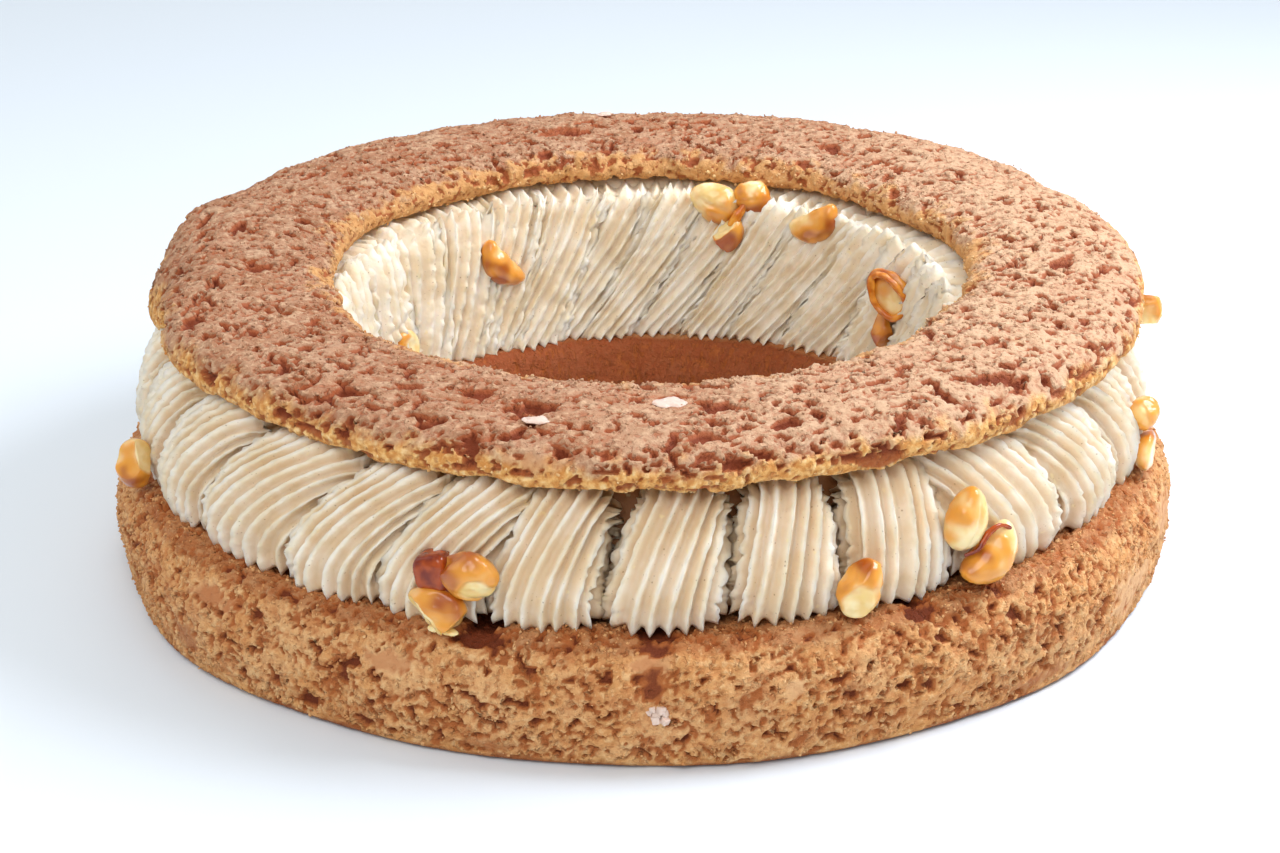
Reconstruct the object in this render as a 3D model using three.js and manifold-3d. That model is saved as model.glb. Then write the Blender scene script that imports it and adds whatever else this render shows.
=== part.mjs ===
// A filled ring of choux pastry: a crackled base and a crackled lid, with a ring of piped praline
// cream between them, and caramelised nut pieces pressed into the cream outside and inside.
// Millimetres and degrees. +Z is up, the base's centre is at x = y = 0 and it rests on z = 0.
// Angles run anticlockwise seen from above: 0 is the right side, 270 is the front.

import * as THREE from "three";
import { mergeVertices } from "three/addons/utils/BufferGeometryUtils.js";
import Module from "manifold-3d";

// Driving dimensions

const gap = 0.3; // kept between pieces that touch

const base = {
  radius: 120,
  holeRadius: 61.5,
  columns: 80,
  outlineWander: 0.8, // how far the outline strays from a circle
  crag: 0.7, // height of the crust's crags
};

// The base's top is a shallow cone that falls towards the hole, and the cream lies on it.
const seat = { radius: 66.6, height: 20.3, slope: 0.0925 };

const lid = {
  radius: 110.4,
  holeRadius: 71,
  centre: [1.7, 3.7],
  underside: 55.9, // height of its flat underside at x = y = 0
  slopeX: -0.007,
  slopeY: 0.037, // it lies a little higher at the back
  columns: 94,
  outlineWander: 0.9,
  crag: 0.7,
};

// A torn flap of the lid's rim that stands out past the circle.
const lidFlap = { angle: 169, halfWidth: 15, reach: 3.6 };

const cream = {
  outerFoot: 110.8,
  outerBelly: 113.6,
  outerShoulder: 110.2,
  outerTop: 102,
  innerTop: 73,
  innerShoulder: 67.6,
  innerBelly: 64.8,
  innerFoot: 66.8,
  outerGap: 5.8, // depth of the furrow between two lobes
  innerGap: 3.2,
  ridge: 1.5, // depth of the grooves that the star nozzle leaves
  unevenness: 1.1, // how much the reach of the lobes differs
};

// Each piped lobe's width in degrees, from the first lobe left of the front, on round the ring.
const firstLobeStart = 214.5;
const lobeWidths = [
  15.5, 12, 11.5, 12.2, 12.8, 12, 13.5, 16.5, 13.5, 14, 14, 13, 13.5, 13,
  12.9, 10.1, 11, 9.9, 12.6, 12, 12.4, 12.6, 15, 13, 13, 13, 13, 12.5,
];
const lobeColumns = 12; // six ridges and a furrow

// The lobes lean on the inside wall, most of all about this angle.
const innerLean = { least: 4, extra: 8, about: 55 };

// The nut pieces. `at` places the middle of each one by its angle, radius and height, `size` is its
// length, its width and its depth along the radius, and `turn` tips its length up from level.
const nuts = [
  // outside, round from the left
  { kind: "broken", at: [199.5, 115, 31.2], size: [11.5, 8, 8.4], turn: 80 },
  { kind: "half", at: [253.2, 113.6, 36.4], size: [11.6, 8.4, 6.6], turn: -12 },
  { kind: "broken", at: [249.9, 114.2, 28.9], size: [11.4, 7.4, 7], turn: -16 },
  { kind: "broken", at: [248.3, 113.4, 36.4], size: [5.6, 5, 4.6], turn: 30 },
  { kind: "half", at: [291.1, 113.4, 31.2], size: [10.8, 9.2, 6.6], turn: 62 },
  { kind: "whole", at: [304.1, 112.8, 40.8], size: [11.4, 9, 8], turn: 62 },
  { kind: "kidney", at: [306.1, 114.2, 31], size: [14.6, 8.2, 8.2], turn: 38 },
  { kind: "broken", at: [341, 113.8, 38.6], size: [8.6, 6.8, 6.6], turn: -30 },
  { kind: "half", at: [341.5, 114.6, 29.6], size: [10.6, 7.4, 7], turn: 20 },
  { kind: "broken", at: [358.6, 113.4, 50], size: [9.4, 7.6, 7.2], turn: 50 },
  { kind: "whole", at: [33, 113.4, 33], size: [12.4, 9.2, 8], turn: 25 },
  { kind: "broken", at: [77, 113.8, 30.4], size: [11, 8, 7], turn: -35 },
  { kind: "half", at: [82.6, 112.8, 40.4], size: [11.8, 8.6, 6.6], turn: 55 },
  { kind: "kidney", at: [131, 113.6, 37], size: [13.6, 8.2, 7.4], turn: -40 },
  // inside, on from the left
  { kind: "half", at: [148.6, 65.2, 30.4], size: [9.6, 7.4, 6.2], turn: 60 },
  { kind: "kidney", at: [121.6, 65, 43.6], size: [14.6, 7, 6.8], turn: 45 },
  { kind: "whole", at: [74, 68.6, 56], size: [13.2, 10, 8], turn: 22 },
  { kind: "whole", at: [64.4, 69.6, 57.2], size: [10.2, 8, 7], turn: -8 },
  { kind: "broken", at: [71, 65.6, 46.6], size: [9.4, 7.6, 6.4], turn: -70 },
  { kind: "kidney", at: [50.4, 67.2, 54.2], size: [15, 7.6, 7], turn: -28 },
  { kind: "half", at: [22.6, 65, 44.6], size: [12.6, 8.8, 7], turn: 48 },
  { kind: "broken", at: [27.2, 65.2, 34], size: [8.4, 6.4, 5.8], turn: 75 },
  { kind: "half", at: [322, 64.8, 40], size: [11.6, 8.4, 6.8], turn: -30 },
  { kind: "broken", at: [245, 65.2, 36], size: [10.8, 7.8, 6.6], turn: 35 },
];

// Sugar flakes and crumbs baked onto the crust: where, how high, and how large across.
const crumbs = [
  { on: "lid", angle: 276, radius: 80, size: 3 },
  { on: "lid", angle: 257, radius: 92, size: 2.6 },
  { on: "lid", angle: 20, radius: 96, size: 2.8 },
  { on: "lid", angle: 118, radius: 88, size: 2.6 },
  { on: "lid", angle: 196, radius: 84, size: 2.4 },
  { on: "base", angle: 272, height: 9, size: 3.4 },
  { on: "base", angle: 287, height: 13, size: 2.8 },
  { on: "base", angle: 62, height: 10, size: 2.8 },
  { on: "base", angle: 164, height: 12, size: 3 },
];

const colours = {
  base: 0xc08a58,
  cream: 0xe9d9bf,
  lid: 0xb47c5c,
  nut: 0xe0a04a,
};

// Helpers

const radians = THREE.MathUtils.degToRad;

// Random numbers from 0 to 1, the same in each run.
function seededRandom(seed) {
  let state = seed;
  return () => {
    state = (Math.imul(state, 1664525) + 1013904223) >>> 0;
    return state / 2 ** 32;
  };
}

// A smooth closed wave round the ring, as a sum of slow cosines with random phases.
function outlineWave(seed, amplitude) {
  const random = seededRandom(seed);
  const waves = [2, 3, 5, 7, 11].map((count) => ({ count, phase: 360 * random() }));
  return (angle) =>
    waves.reduce((sum, w) => sum + Math.cos(radians(w.count * angle + w.phase)), 0) *
    (amplitude / 2);
}

// A ring, closed both ways. sectionAt gives each column's points, in the order that runs anticlockwise
// when the radius is drawn to the right and the height up.
function ringGeometry(columns, sectionAt) {
  const sections = Array.from({ length: columns }, (_, column) => sectionAt(column));
  const rows = sections[0].length;
  const positions = [];
  const indices = [];
  sections.forEach((section, column) => {
    const nextColumn = (column + 1) % columns;
    section.forEach((point, row) => {
      const nextRow = (row + 1) % rows;
      positions.push(...point);
      const here = column * rows + row;
      const along = nextColumn * rows + row;
      const up = column * rows + nextRow;
      const across = nextColumn * rows + nextRow;
      indices.push(here, along, across, here, across, up);
    });
  });
  const geometry = new THREE.BufferGeometry();
  geometry.setAttribute("position", new THREE.Float32BufferAttribute(positions, 3));
  geometry.setIndex(indices);
  return geometry;
}

function polar(radius, angle, height) {
  return [radius * Math.cos(radians(angle)), radius * Math.sin(radians(angle)), height];
}

const wasm = await Module();
wasm.setup();

function solidOf(geometry) {
  const bare = geometry.clone();
  bare.deleteAttribute("normal");
  bare.deleteAttribute("uv");
  const merged = mergeVertices(bare);
  const vertProperties = new Float32Array(merged.attributes.position.array);
  const triVerts = new Uint32Array(merged.index.array);
  return new wasm.Manifold(new wasm.Mesh({ numProp: 3, vertProperties, triVerts }));
}

function geometryOf(solid) {
  const mesh = solid.getMesh();
  const geometry = new THREE.BufferGeometry();
  geometry.setAttribute("position", new THREE.BufferAttribute(mesh.vertProperties, 3));
  geometry.setIndex(new THREE.BufferAttribute(mesh.triVerts, 1));
  return geometry;
}

// Base

function seatHeight(radius) {
  return seat.height + seat.slope * (radius - seat.radius);
}

function baseGeometry() {
  const outerWave = outlineWave(3, base.outlineWander);
  const innerWave = outlineWave(4, base.outlineWander);
  const random = seededRandom(21);
  const crag = () => base.crag * (2 * random() - 1);
  return ringGeometry(base.columns, (column) => {
    const angle = (360 * column) / base.columns;
    const outer = base.radius - 0.6 + outerWave(angle);
    const inner = base.holeRadius + innerWave(angle);
    const wall = (inset, height) => polar(outer - inset + crag(), angle, height);
    const holeWall = (inset, height) => polar(inner + inset + crag(), angle, height);
    return [
      polar(outer - 3.4, angle, 0),
      wall(0.9, 3.6),
      wall(0, 9),
      wall(0, 14.5),
      wall(1.5, 19.5),
      wall(4.2, 23.3),
      polar(114, angle, seatHeight(114)),
      polar(65.4, angle, seatHeight(65.4)),
      holeWall(1.4, 17.4),
      holeWall(0, 11),
      holeWall(1, 4),
      polar(inner + 3.6, angle, 0),
    ];
  });
}

// Lid

function lidUnderside(x, y) {
  return lid.underside + lid.slopeX * x + lid.slopeY * y;
}

function flapReach(angle) {
  const away = Math.abs(angle - lidFlap.angle) / lidFlap.halfWidth;
  return away < 1 ? lidFlap.reach * (1 - away ** 3) : 0;
}

// A point of the lid, by its radius about the lid's own centre and its height over the underside.
function lidPoint(radius, angle, rise) {
  const [x, y] = polar(radius, angle, 0);
  const place = [x + lid.centre[0], y + lid.centre[1]];
  return [...place, lidUnderside(...place) + rise];
}

function lidGeometry() {
  const outerWave = outlineWave(5, lid.outlineWander);
  const innerWave = outlineWave(6, lid.outlineWander);
  const random = seededRandom(22);
  const crag = () => lid.crag * (2 * random() - 1);
  return ringGeometry(lid.columns, (column) => {
    const angle = (360 * column) / lid.columns;
    const outer = lid.radius + outerWave(angle) + flapReach(angle);
    const inner = lid.holeRadius + innerWave(angle);
    const fromOuter = (inset, rise) => lidPoint(outer - inset + crag(), angle, rise + crag());
    const fromInner = (inset, rise) => lidPoint(inner + inset + crag(), angle, rise + crag());
    return [
      lidPoint(outer - 2.6, angle, 0),
      fromOuter(0.4, 1.7),
      fromOuter(0.3, 4.2),
      fromOuter(2.4, 6.9),
      fromOuter(7, 8.4),
      fromOuter(13.5, 9),
      fromInner(19.5, 8.9),
      fromInner(12.5, 8.4),
      fromInner(6, 7.6),
      fromInner(1.4, 5.8),
      fromInner(0.2, 2.8),
      lidPoint(inner + 2.2, angle, 0),
    ];
  });
}

// Cream

function creamLean(angle) {
  return innerLean.least + innerLean.extra * Math.max(0, Math.cos(radians(angle - innerLean.about)));
}

function creamGeometry() {
  const random = seededRandom(23);
  const total = lobeWidths.reduce((sum, width) => sum + width, 0);
  let start = firstLobeStart;
  const sections = [];
  for (const share of lobeWidths) {
    const width = (360 * share) / total;
    const outerReach = cream.unevenness * (2 * random() - 1);
    const innerReach = (cream.unevenness / 2) * (2 * random() - 1);
    for (let column = 0; column < lobeColumns; column += 1) {
      const angle = start + (width * column) / lobeColumns;
      sections.push(creamSection(column, angle, outerReach, innerReach));
    }
    start += width;
  }
  return ringGeometry(sections.length, (column) => sections[column]);
}

// One section of a lobe. Across the lobe it is round, with a ridge at each odd column.
function creamSection(column, angle, outerReach, innerReach) {
  const across = (2 * column) / lobeColumns - 1;
  const furrow = 1 - Math.sqrt(1 - across * across);
  const ridge = (column % 2 ? 0.5 : -0.5) * cream.ridge;
  const outer = (radius, strength) =>
    radius + outerReach + ridge * strength - cream.outerGap * furrow * strength;
  const inner = (radius, strength) =>
    radius - innerReach - (ridge * strength) / 2 + cream.innerGap * furrow * strength;
  const lean = creamLean(angle);
  const point = (radius, turn, share) => {
    const [x, y] = polar(radius, angle + turn, 0);
    const foot = seatHeight(radius) + gap;
    const top = lidUnderside(x, y) - gap;
    return [x, y, foot + share * (top - foot)];
  };
  return [
    point(outer(cream.outerFoot, 1.1), 0, 0),
    point(outer(cream.outerBelly, 1), 0, 0.27),
    point(outer(cream.outerShoulder, 1), 0, 0.68),
    point(outer(cream.outerTop, 0.6), 0, 1),
    point(inner(cream.innerTop, 0.6), 0, 1),
    point(inner(cream.innerShoulder, 1), 0.25 * lean, 0.7),
    point(inner(cream.innerBelly, 1), 0.6 * lean, 0.4),
    point(inner(cream.innerFoot, 1.1), lean, 0),
  ];
}

// Nuts

// A kernel about its own middle: x points out of the cream, y along its length and z across it.
function nutGeometry(nut, seed) {
  const geometry = new THREE.IcosahedronGeometry(1, 1);
  geometry.deleteAttribute("normal");
  geometry.deleteAttribute("uv");
  const merged = mergeVertices(geometry);
  const vertices = merged.attributes.position;
  const random = seededRandom(seed);
  const roughness = nut.kind === "broken" ? 0.16 : 0.04;
  const [length, width, depth] = nut.size;
  const point = new THREE.Vector3();
  for (let i = 0; i < vertices.count; i += 1) {
    point.fromBufferAttribute(vertices, i);
    point.multiplyScalar(1 + roughness * (2 * random() - 1));
    if (nut.kind === "whole") point.z *= 1 - 0.2 * point.y;
    if (nut.kind === "half" && point.x > 0) point.x *= 0.45;
    if (nut.kind === "broken") point.y = Math.min(point.y, 0.7);
    if (nut.kind === "kidney") point.z += 0.45 * (0.35 - point.y * point.y);
    vertices.setXYZ(i, (point.x * depth) / 2, (point.y * length) / 2, (point.z * width) / 2);
  }
  return merged;
}

// The nut's place on the ring: turned out of the cream, on its own arm about the ring's axis.
function placeNut(mesh, nut) {
  const [angle, radius, height] = nut.at;
  const isInside = radius < (cream.innerTop + cream.outerTop) / 2;
  const arm = new THREE.Group();
  arm.rotation.z = radians(angle);
  mesh.position.set(radius, 0, height);
  mesh.rotation.set(radians(nut.turn), isInside ? Math.PI : 0, 0);
  arm.add(mesh);
  return arm;
}

// Cuts the cream back from each nut by the gap, so that the nut sits in a hollow of its own shape.
function cutNutHollows(geometry, meshes) {
  return geometryOf(
    meshes.reduce((solid, mesh) => {
      const cutter = mesh.geometry.clone();
      cutter.computeBoundingBox();
      const size = cutter.boundingBox.getSize(new THREE.Vector3());
      const growth = 1 + (2.6 * gap) / Math.min(size.x, size.y, size.z);
      cutter.scale(growth, growth, growth);
      cutter.applyMatrix4(mesh.matrixWorld);
      return solid.subtract(solidOf(cutter));
    }, solidOf(geometry)),
  );
}

// Crumbs and sugar flakes, each half sunk in the crust that it was baked on.

function crumbGeometry(crumb) {
  const geometry = new THREE.OctahedronGeometry(crumb.size / 2);
  geometry.scale(1, 1.3, 0.8);
  geometry.rotateZ(radians(crumb.angle));
  const place =
    crumb.on === "lid"
      ? lidPoint(crumb.radius, crumb.angle, 8.2)
      : polar(base.radius - 1, crumb.angle, crumb.height);
  return geometry.translate(...place);
}

function withCrumbs(geometry, name) {
  return geometryOf(
    crumbs
      .filter((crumb) => crumb.on === name)
      .reduce((solid, crumb) => solid.add(solidOf(crumbGeometry(crumb))), solidOf(geometry)),
  );
}

// The pastry

const pastry = new THREE.Group();

function addMesh(name, geometry, colour, roughness) {
  const material = new THREE.MeshStandardMaterial({ color: colour, roughness, metalness: 0 });
  const mesh = new THREE.Mesh(geometry, material);
  mesh.name = name;
  return mesh;
}

const nutMeshes = nuts.map((nut, i) => {
  const name = `nut_${String(i + 1).padStart(2, "0")}`;
  const mesh = addMesh(name, nutGeometry(nut, 100 + i), colours.nut, 0.25);
  pastry.add(placeNut(mesh, nut));
  return mesh;
});
pastry.updateMatrixWorld(true);

pastry.add(addMesh("base_ring", withCrumbs(baseGeometry(), "base"), colours.base, 0.85));
pastry.add(addMesh("cream_ring", cutNutHollows(creamGeometry(), nutMeshes), colours.cream, 0.6));
pastry.add(addMesh("lid_ring", withCrumbs(lidGeometry(), "lid"), colours.lid, 0.85));

export default pastry;
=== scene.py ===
# A filled ring of choux pastry: two crackled crusts, a ring of piped praline cream between them,
# and caramelised nuts pressed into the cream. Sizes are in millimetres unless a line says metres,
# and angles in degrees, anticlockwise from the right: 270 is the front.
import math
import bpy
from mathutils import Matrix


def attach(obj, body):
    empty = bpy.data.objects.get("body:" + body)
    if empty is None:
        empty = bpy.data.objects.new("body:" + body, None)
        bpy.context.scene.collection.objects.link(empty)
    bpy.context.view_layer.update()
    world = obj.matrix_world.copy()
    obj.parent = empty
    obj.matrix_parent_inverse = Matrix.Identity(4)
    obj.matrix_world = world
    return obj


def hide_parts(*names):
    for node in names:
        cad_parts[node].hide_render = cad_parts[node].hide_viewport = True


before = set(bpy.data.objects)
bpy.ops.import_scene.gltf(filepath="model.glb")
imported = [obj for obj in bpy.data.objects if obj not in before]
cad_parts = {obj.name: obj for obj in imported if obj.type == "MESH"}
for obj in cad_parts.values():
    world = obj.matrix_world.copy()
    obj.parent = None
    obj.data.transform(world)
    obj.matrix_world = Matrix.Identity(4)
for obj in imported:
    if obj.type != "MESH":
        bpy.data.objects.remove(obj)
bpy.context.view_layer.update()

from types import SimpleNamespace

import bpy
import numpy as np
from mathutils import Matrix, Vector, noise

mm = 0.001
noise.seed_set(4)  # noise_vector is otherwise shifted by the clock, and no two runs give the same crumb
print("frame loaded:", len(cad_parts), "nodes")


def deselectAll():
    if bpy.context.object and bpy.context.object.mode != "OBJECT":
        bpy.ops.object.mode_set(mode="OBJECT")
    bpy.ops.object.select_all(action="DESELECT")


def takeUp(piece):
    deselectAll()
    piece.select_set(True)
    bpy.context.view_layer.objects.active = piece


def readPoints(piece):
    points = np.empty(len(piece.data.vertices) * 3, np.float32)
    piece.data.vertices.foreach_get("co", points)
    return points.reshape(-1, 3).astype(float)


def writePoints(piece, points):
    piece.data.vertices.foreach_set("co", points.astype(np.float32).ravel())
    piece.data.update()


def readNormals(piece):
    normals = np.empty(len(piece.data.vertices) * 3, np.float32)
    piece.data.vertices.foreach_get("normal", normals)
    return normals.reshape(-1, 3).astype(float)


# Saves a value for each point, for a material to read.
def saveAttribute(piece, name, values):
    layer = piece.data.attributes.new(name, "FLOAT", "POINT")
    layer.data.foreach_set("value", np.asarray(values, np.float32))


# Saves a weight for each point, rounded to a few levels so that the group is filled quickly.
def saveGroup(piece, name, weights, levels=20):
    group = piece.vertex_groups.new(name=name)
    steps = np.rint(np.clip(weights, 0, 1) * levels).astype(int)
    for level in range(levels + 1):
        members = np.flatnonzero(steps == level)
        if len(members):
            group.add(members.tolist(), level / levels, "REPLACE")


def meshPiece(name, points, faces):
    mesh = bpy.data.meshes.new(name)
    mesh.from_pydata(points, [], faces)
    piece = bpy.data.objects.new(name, mesh)
    bpy.context.scene.collection.objects.link(piece)
    return piece


# One layer of relief: clouds of a grain in millimetres push the surface in and out.
def roughen(piece, grain, height, group="", **look):
    texture = bpy.data.textures.new(piece.name + "Clouds", "CLOUDS")
    for name, value in look.items():
        setattr(texture, name, value)
    texture.noise_scale = grain * mm
    layer = piece.modifiers.new("relief", "DISPLACE")
    layer.texture = texture
    layer.texture_coords = "LOCAL"
    layer.strength = height * mm
    layer.mid_level = 0.5
    layer.vertex_group = group
    takeUp(piece)
    bpy.ops.object.modifier_apply(modifier=layer.name)


def smoothStep(low, high, values):
    share = np.clip((values - low) / (high - low), 0, 1)
    return share * share * (3 - 2 * share)


# Draws from 0 to 1, by the rule that the part's own outlines use.
def seededDraws(seed):
    state = seed
    while True:
        state = (state * 1664525 + 1013904223) % 2**32
        yield state / 2**32


# The slow wave by which a hand-shaped outline wanders in and out.
def outlineWave(seed, amplitude):
    draws = seededDraws(seed)
    waves = [(count, 360 * next(draws)) for count in (2, 3, 5, 7, 11)]

    def wave(angles):
        return sum(np.cos(np.radians(count * angles + phase)) for count, phase in waves) * amplitude / 2

    return wave


# A smooth line through the control points (Catmull-Rom), cut into equal steps.
def smoothLine(controls, step, closed=False):
    controls = np.asarray(controls, float)
    ends = (controls[-1:], controls[:1]) if closed else (controls[:1], controls[-1:])
    around = np.vstack([ends[0], controls, ends[1]])
    if closed:
        around = np.vstack([around, controls[1:2]])
    fine = []
    for a, b, c, d in zip(around, around[1:], around[2:], around[3:]):
        t = np.linspace(0, 1, 12, endpoint=False)[:, None]
        fine.append(0.5 * (2 * b + (c - a) * t + (2 * a - 5 * b + 4 * c - d) * t**2
                           + (3 * b - a - 3 * c + d) * t**3))
    fine = np.vstack(fine + [controls[:1] if closed else controls[-1:]])
    run = np.concatenate([[0], np.cumsum(np.linalg.norm(np.diff(fine, axis=0), axis=1))])
    count = max(2, round(run[-1] / step) + 1)
    at = np.linspace(0, run[-1], count)
    return np.stack([np.interp(at, run, fine[:, k]) for k in range(fine.shape[1])], axis=1)


def hexToLinear(colour):
    parts = [int(colour[i:i + 2], 16) / 255 for i in (1, 3, 5)]
    return tuple(c / 12.92 if c <= 0.04045 else ((c + 0.055) / 1.055) ** 2.4 for c in parts) + (1,)


# Adds one node with its inputs, each a plain value or another node's output, and its settings.
def addNode(material, kind, inputs=None, output=0, **settings):
    node = material.node_tree.nodes.new("ShaderNode" + kind)
    for name, value in settings.items():
        setattr(node, name, value)
    for name, value in (inputs or {}).items():
        if isinstance(value, bpy.types.NodeSocket):
            material.node_tree.links.new(value, node.inputs[name])
        else:
            node.inputs[name].default_value = hexToLinear(value) if isinstance(value, str) else value
    return node.outputs[output] if node.outputs else node


# A new material, and the place on the piece by which its patterns are laid.
def startMaterial(name):
    material = bpy.data.materials.new(name)
    material.use_nodes = True
    material.node_tree.nodes.clear()
    return material, addNode(material, "TexCoord", output="Object")


def finishMaterial(material, inputs):
    surface = addNode(material, "BsdfPrincipled", inputs)
    addNode(material, "OutputMaterial", {"Surface": surface})
    return material


# Lays one colour over another where a value climbs, or falls, from `low` to `high`.
def layOver(material, under, over, value, low, high, strength=1.0):
    share = addNode(material, "MapRange", {
        "Value": value, "From Min": low, "From Max": high, "To Max": strength},
        interpolation_type="SMOOTHSTEP")
    return addNode(material, "Mix", {0: share, 6: under, 7: over}, output=2, data_type="RGBA")


# Lays it in soft blotches of a width in millimetres.
def layBlotches(material, under, over, place, width, low, high, strength=1.0, detail=2):
    cloud = addNode(material, "TexNoise", {"Vector": place, "Scale": 1 / (width * mm), "Detail": detail})
    return layOver(material, under, over, cloud, low, high, strength)


# Lays it by a share that was saved on the piece.
def layWhere(material, under, over, layer):
    share = addNode(material, "Attribute", output="Fac", attribute_name=layer)
    return addNode(material, "Mix", {0: share, 6: under, 7: over}, output=2, data_type="RGBA")


# The bake of the craquelin crumb, and how high the crumb stands. The tops of the lumps are painted paler
# and the low parts darker: partly the crumb's own grains and red-brown, partly painted highlight and
# painted shade.
def crumbColour(material, place, look):
    lumps = addNode(material, "TexNoise", {"Vector": place, "Scale": 1 / (look["lump"] * mm), "Detail": 4})
    colour = layBlotches(material, look["crumb"], look["crumbPale"], place, 11, 0.38, 0.62)
    colour = layBlotches(material, colour, look["toast"], place, 4.5, 0.5, 0.66, 0.6, detail=3)
    # painted light: paler towards the lit side of the lid
    colour = layWhere(material, colour, look["grain"], "paintedSideLight")
    # painted highlight on the tops of the lumps, and painted shade between them, over the crumb's own tone
    colour = layOver(material, colour, look["grain"], lumps, 0.52, 0.66, 0.85 * look["grit"])
    colour = layOver(material, colour, look["crack"], lumps, 0.47, 0.34, 0.6 * look["grit"])
    return colour, lumps


# Baked craquelin: butter, sugar and flour that dried into coarse crumbs over the choux. Matt and
# sandy on the crumbs, red-brown down between them, partly its own colour and partly painted shade in the
# cracks, pits and hollows; golden where the choux shows below it.
def bakedCrust(name, look):
    material, place = startMaterial(name)
    depth, crack, bare = (addNode(material, "Attribute", output="Fac", attribute_name=layer)
                          for layer in ("depth", "crack", "bare"))
    colour, lumps = crumbColour(material, place, look)
    golden = layOver(material, look["goldenDeep"], look["golden"], lumps, 0.36, 0.6)
    golden = layOver(material, golden, look["goldenPale"], lumps, 0.55, 0.68, 0.7)
    colour = layWhere(material, colour, golden, "zone")
    colour = layWhere(material, colour, look["browned"], "browned")
    colour = layWhere(material, colour, look["bare"], "bare")
    # small holes between the crumbs, shifted by a little noise so that they lose their regular look, and
    # painted darker as painted shade
    drift = addNode(material, "TexNoise", {"Vector": place, "Scale": 1 / (1.1 * mm)}, output="Color")
    drift = addNode(material, "VectorMath", {0: drift, 1: (0.5, 0.5, 0.5)}, operation="SUBTRACT")
    shifted = addNode(material, "VectorMath", {0: drift, 1: (0.8 * mm,) * 3, 2: place},
                      operation="MULTIPLY_ADD")
    pores = addNode(material, "TexNoise", {"Vector": shifted, "Scale": 1 / (1.6 * mm), "Detail": 3})
    holes = addNode(material, "MapRange", {
        "Value": pores, "From Min": 0.56, "From Max": 0.67}, interpolation_type="SMOOTHSTEP")
    covered = addNode(material, "MapRange", {
        "Value": bare, "From Min": 0.2, "From Max": 0.9, "To Min": 1, "To Max": 0.25},
        interpolation_type="SMOOTHSTEP")
    shade = addNode(material, "Math", {0: covered, 1: 0.7 * look["grit"]}, operation="MULTIPLY")
    shade = addNode(material, "Math", {0: holes, 1: shade}, operation="MULTIPLY")
    colour = addNode(material, "Mix", {0: shade, 6: colour, 7: look["crack"]}, output=2, data_type="RGBA")
    # painted shade: darker the deeper a point lies below the smooth crust, and in cracks, pits and hollows
    colour = layOver(material, colour, look["crack"], depth, -0.1, -1.3, 0.45)
    colour = layOver(material, colour, look["crack"], crack, 0.15, 0.6, 0.8)
    colour = layOver(material, colour, look["pit"], crack, 0.7, 1.5, 0.9)
    # crumb by crumb, with the small holes and a finer sand over all
    sand = addNode(material, "TexNoise", {"Vector": place, "Scale": 1 / (0.45 * mm)})
    height = addNode(material, "Math", {0: sand, 1: 0.25, 2: lumps}, operation="MULTIPLY_ADD")
    height = addNode(material, "Math", {0: holes, 1: -0.28, 2: height}, operation="MULTIPLY_ADD")
    relief = addNode(material, "Math", {0: covered, 1: look["relief"] * mm}, operation="MULTIPLY")
    normal = addNode(material, "Bump", {"Strength": 1, "Distance": relief, "Height": height})
    return finishMaterial(material, {
        "Base Color": colour, "Roughness": 0.72, "Specular IOR Level": 0.3, "Normal": normal})


# Loose crumbs of the same craquelin, each with its own shade of bake.
def crumbMaterial(name, look):
    material, place = startMaterial(name)
    shade = addNode(material, "Attribute", output="Fac", attribute_name="shade")
    # the same painted highlight and shade on the lumps as the crust
    colour = crumbColour(material, place, look)[0]
    colour = layOver(material, colour, look["toast"], shade, 0.35, 0, 0.5)
    colour = layOver(material, colour, look["grain"], shade, 0.6, 1, 0.3)
    golden = layWhere(material, look["goldenDeep"], look["goldenPale"], "shade")
    colour = layWhere(material, colour, golden, "zone")
    sand = addNode(material, "TexNoise", {"Vector": place, "Scale": 1 / (0.9 * mm), "Detail": 4})
    normal = addNode(material, "Bump", {"Strength": 1, "Distance": 0.8 * mm, "Height": sand})
    return finishMaterial(material, {
        "Base Color": colour, "Roughness": 0.7, "Specular IOR Level": 0.3, "Normal": normal})


# crack and pit are partly the crust's own red-brown and partly painted shade in its cracks, pits and
# hollows
lidLook = {
    "crumb": "#AF7F5E", "crumbPale": "#BC9272", "grain": "#DAB591", "toast": "#9D6A46",
    "golden": "#E8B36C", "goldenDeep": "#CC8842", "goldenPale": "#F4D298",
    "crack": "#A04C20", "pit": "#7A3214", "browned": "#CE9860", "bare": "#C79468",
    "lump": 1.5, "grit": 0.62, "relief": 0.85, # width of a lump, how strongly it shows, how high it stands
}
# browned, on the base, also paints the shade in the hole and under the cream
baseLook = {
    "crumb": "#D4985D", "crumbPale": "#DCA770", "grain": "#EAC28C", "toast": "#BF7A46",
    "golden": "#DDA768", "goldenDeep": "#CB8D4C", "goldenPale": "#ECC48C",
    "crack": "#A85A26", "pit": "#6B2A10", "browned": "#8B3C14", "bare": "#D8AA7A",
    "lump": 1.5, "grit": 0.62, "relief": 0.95,
}


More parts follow.
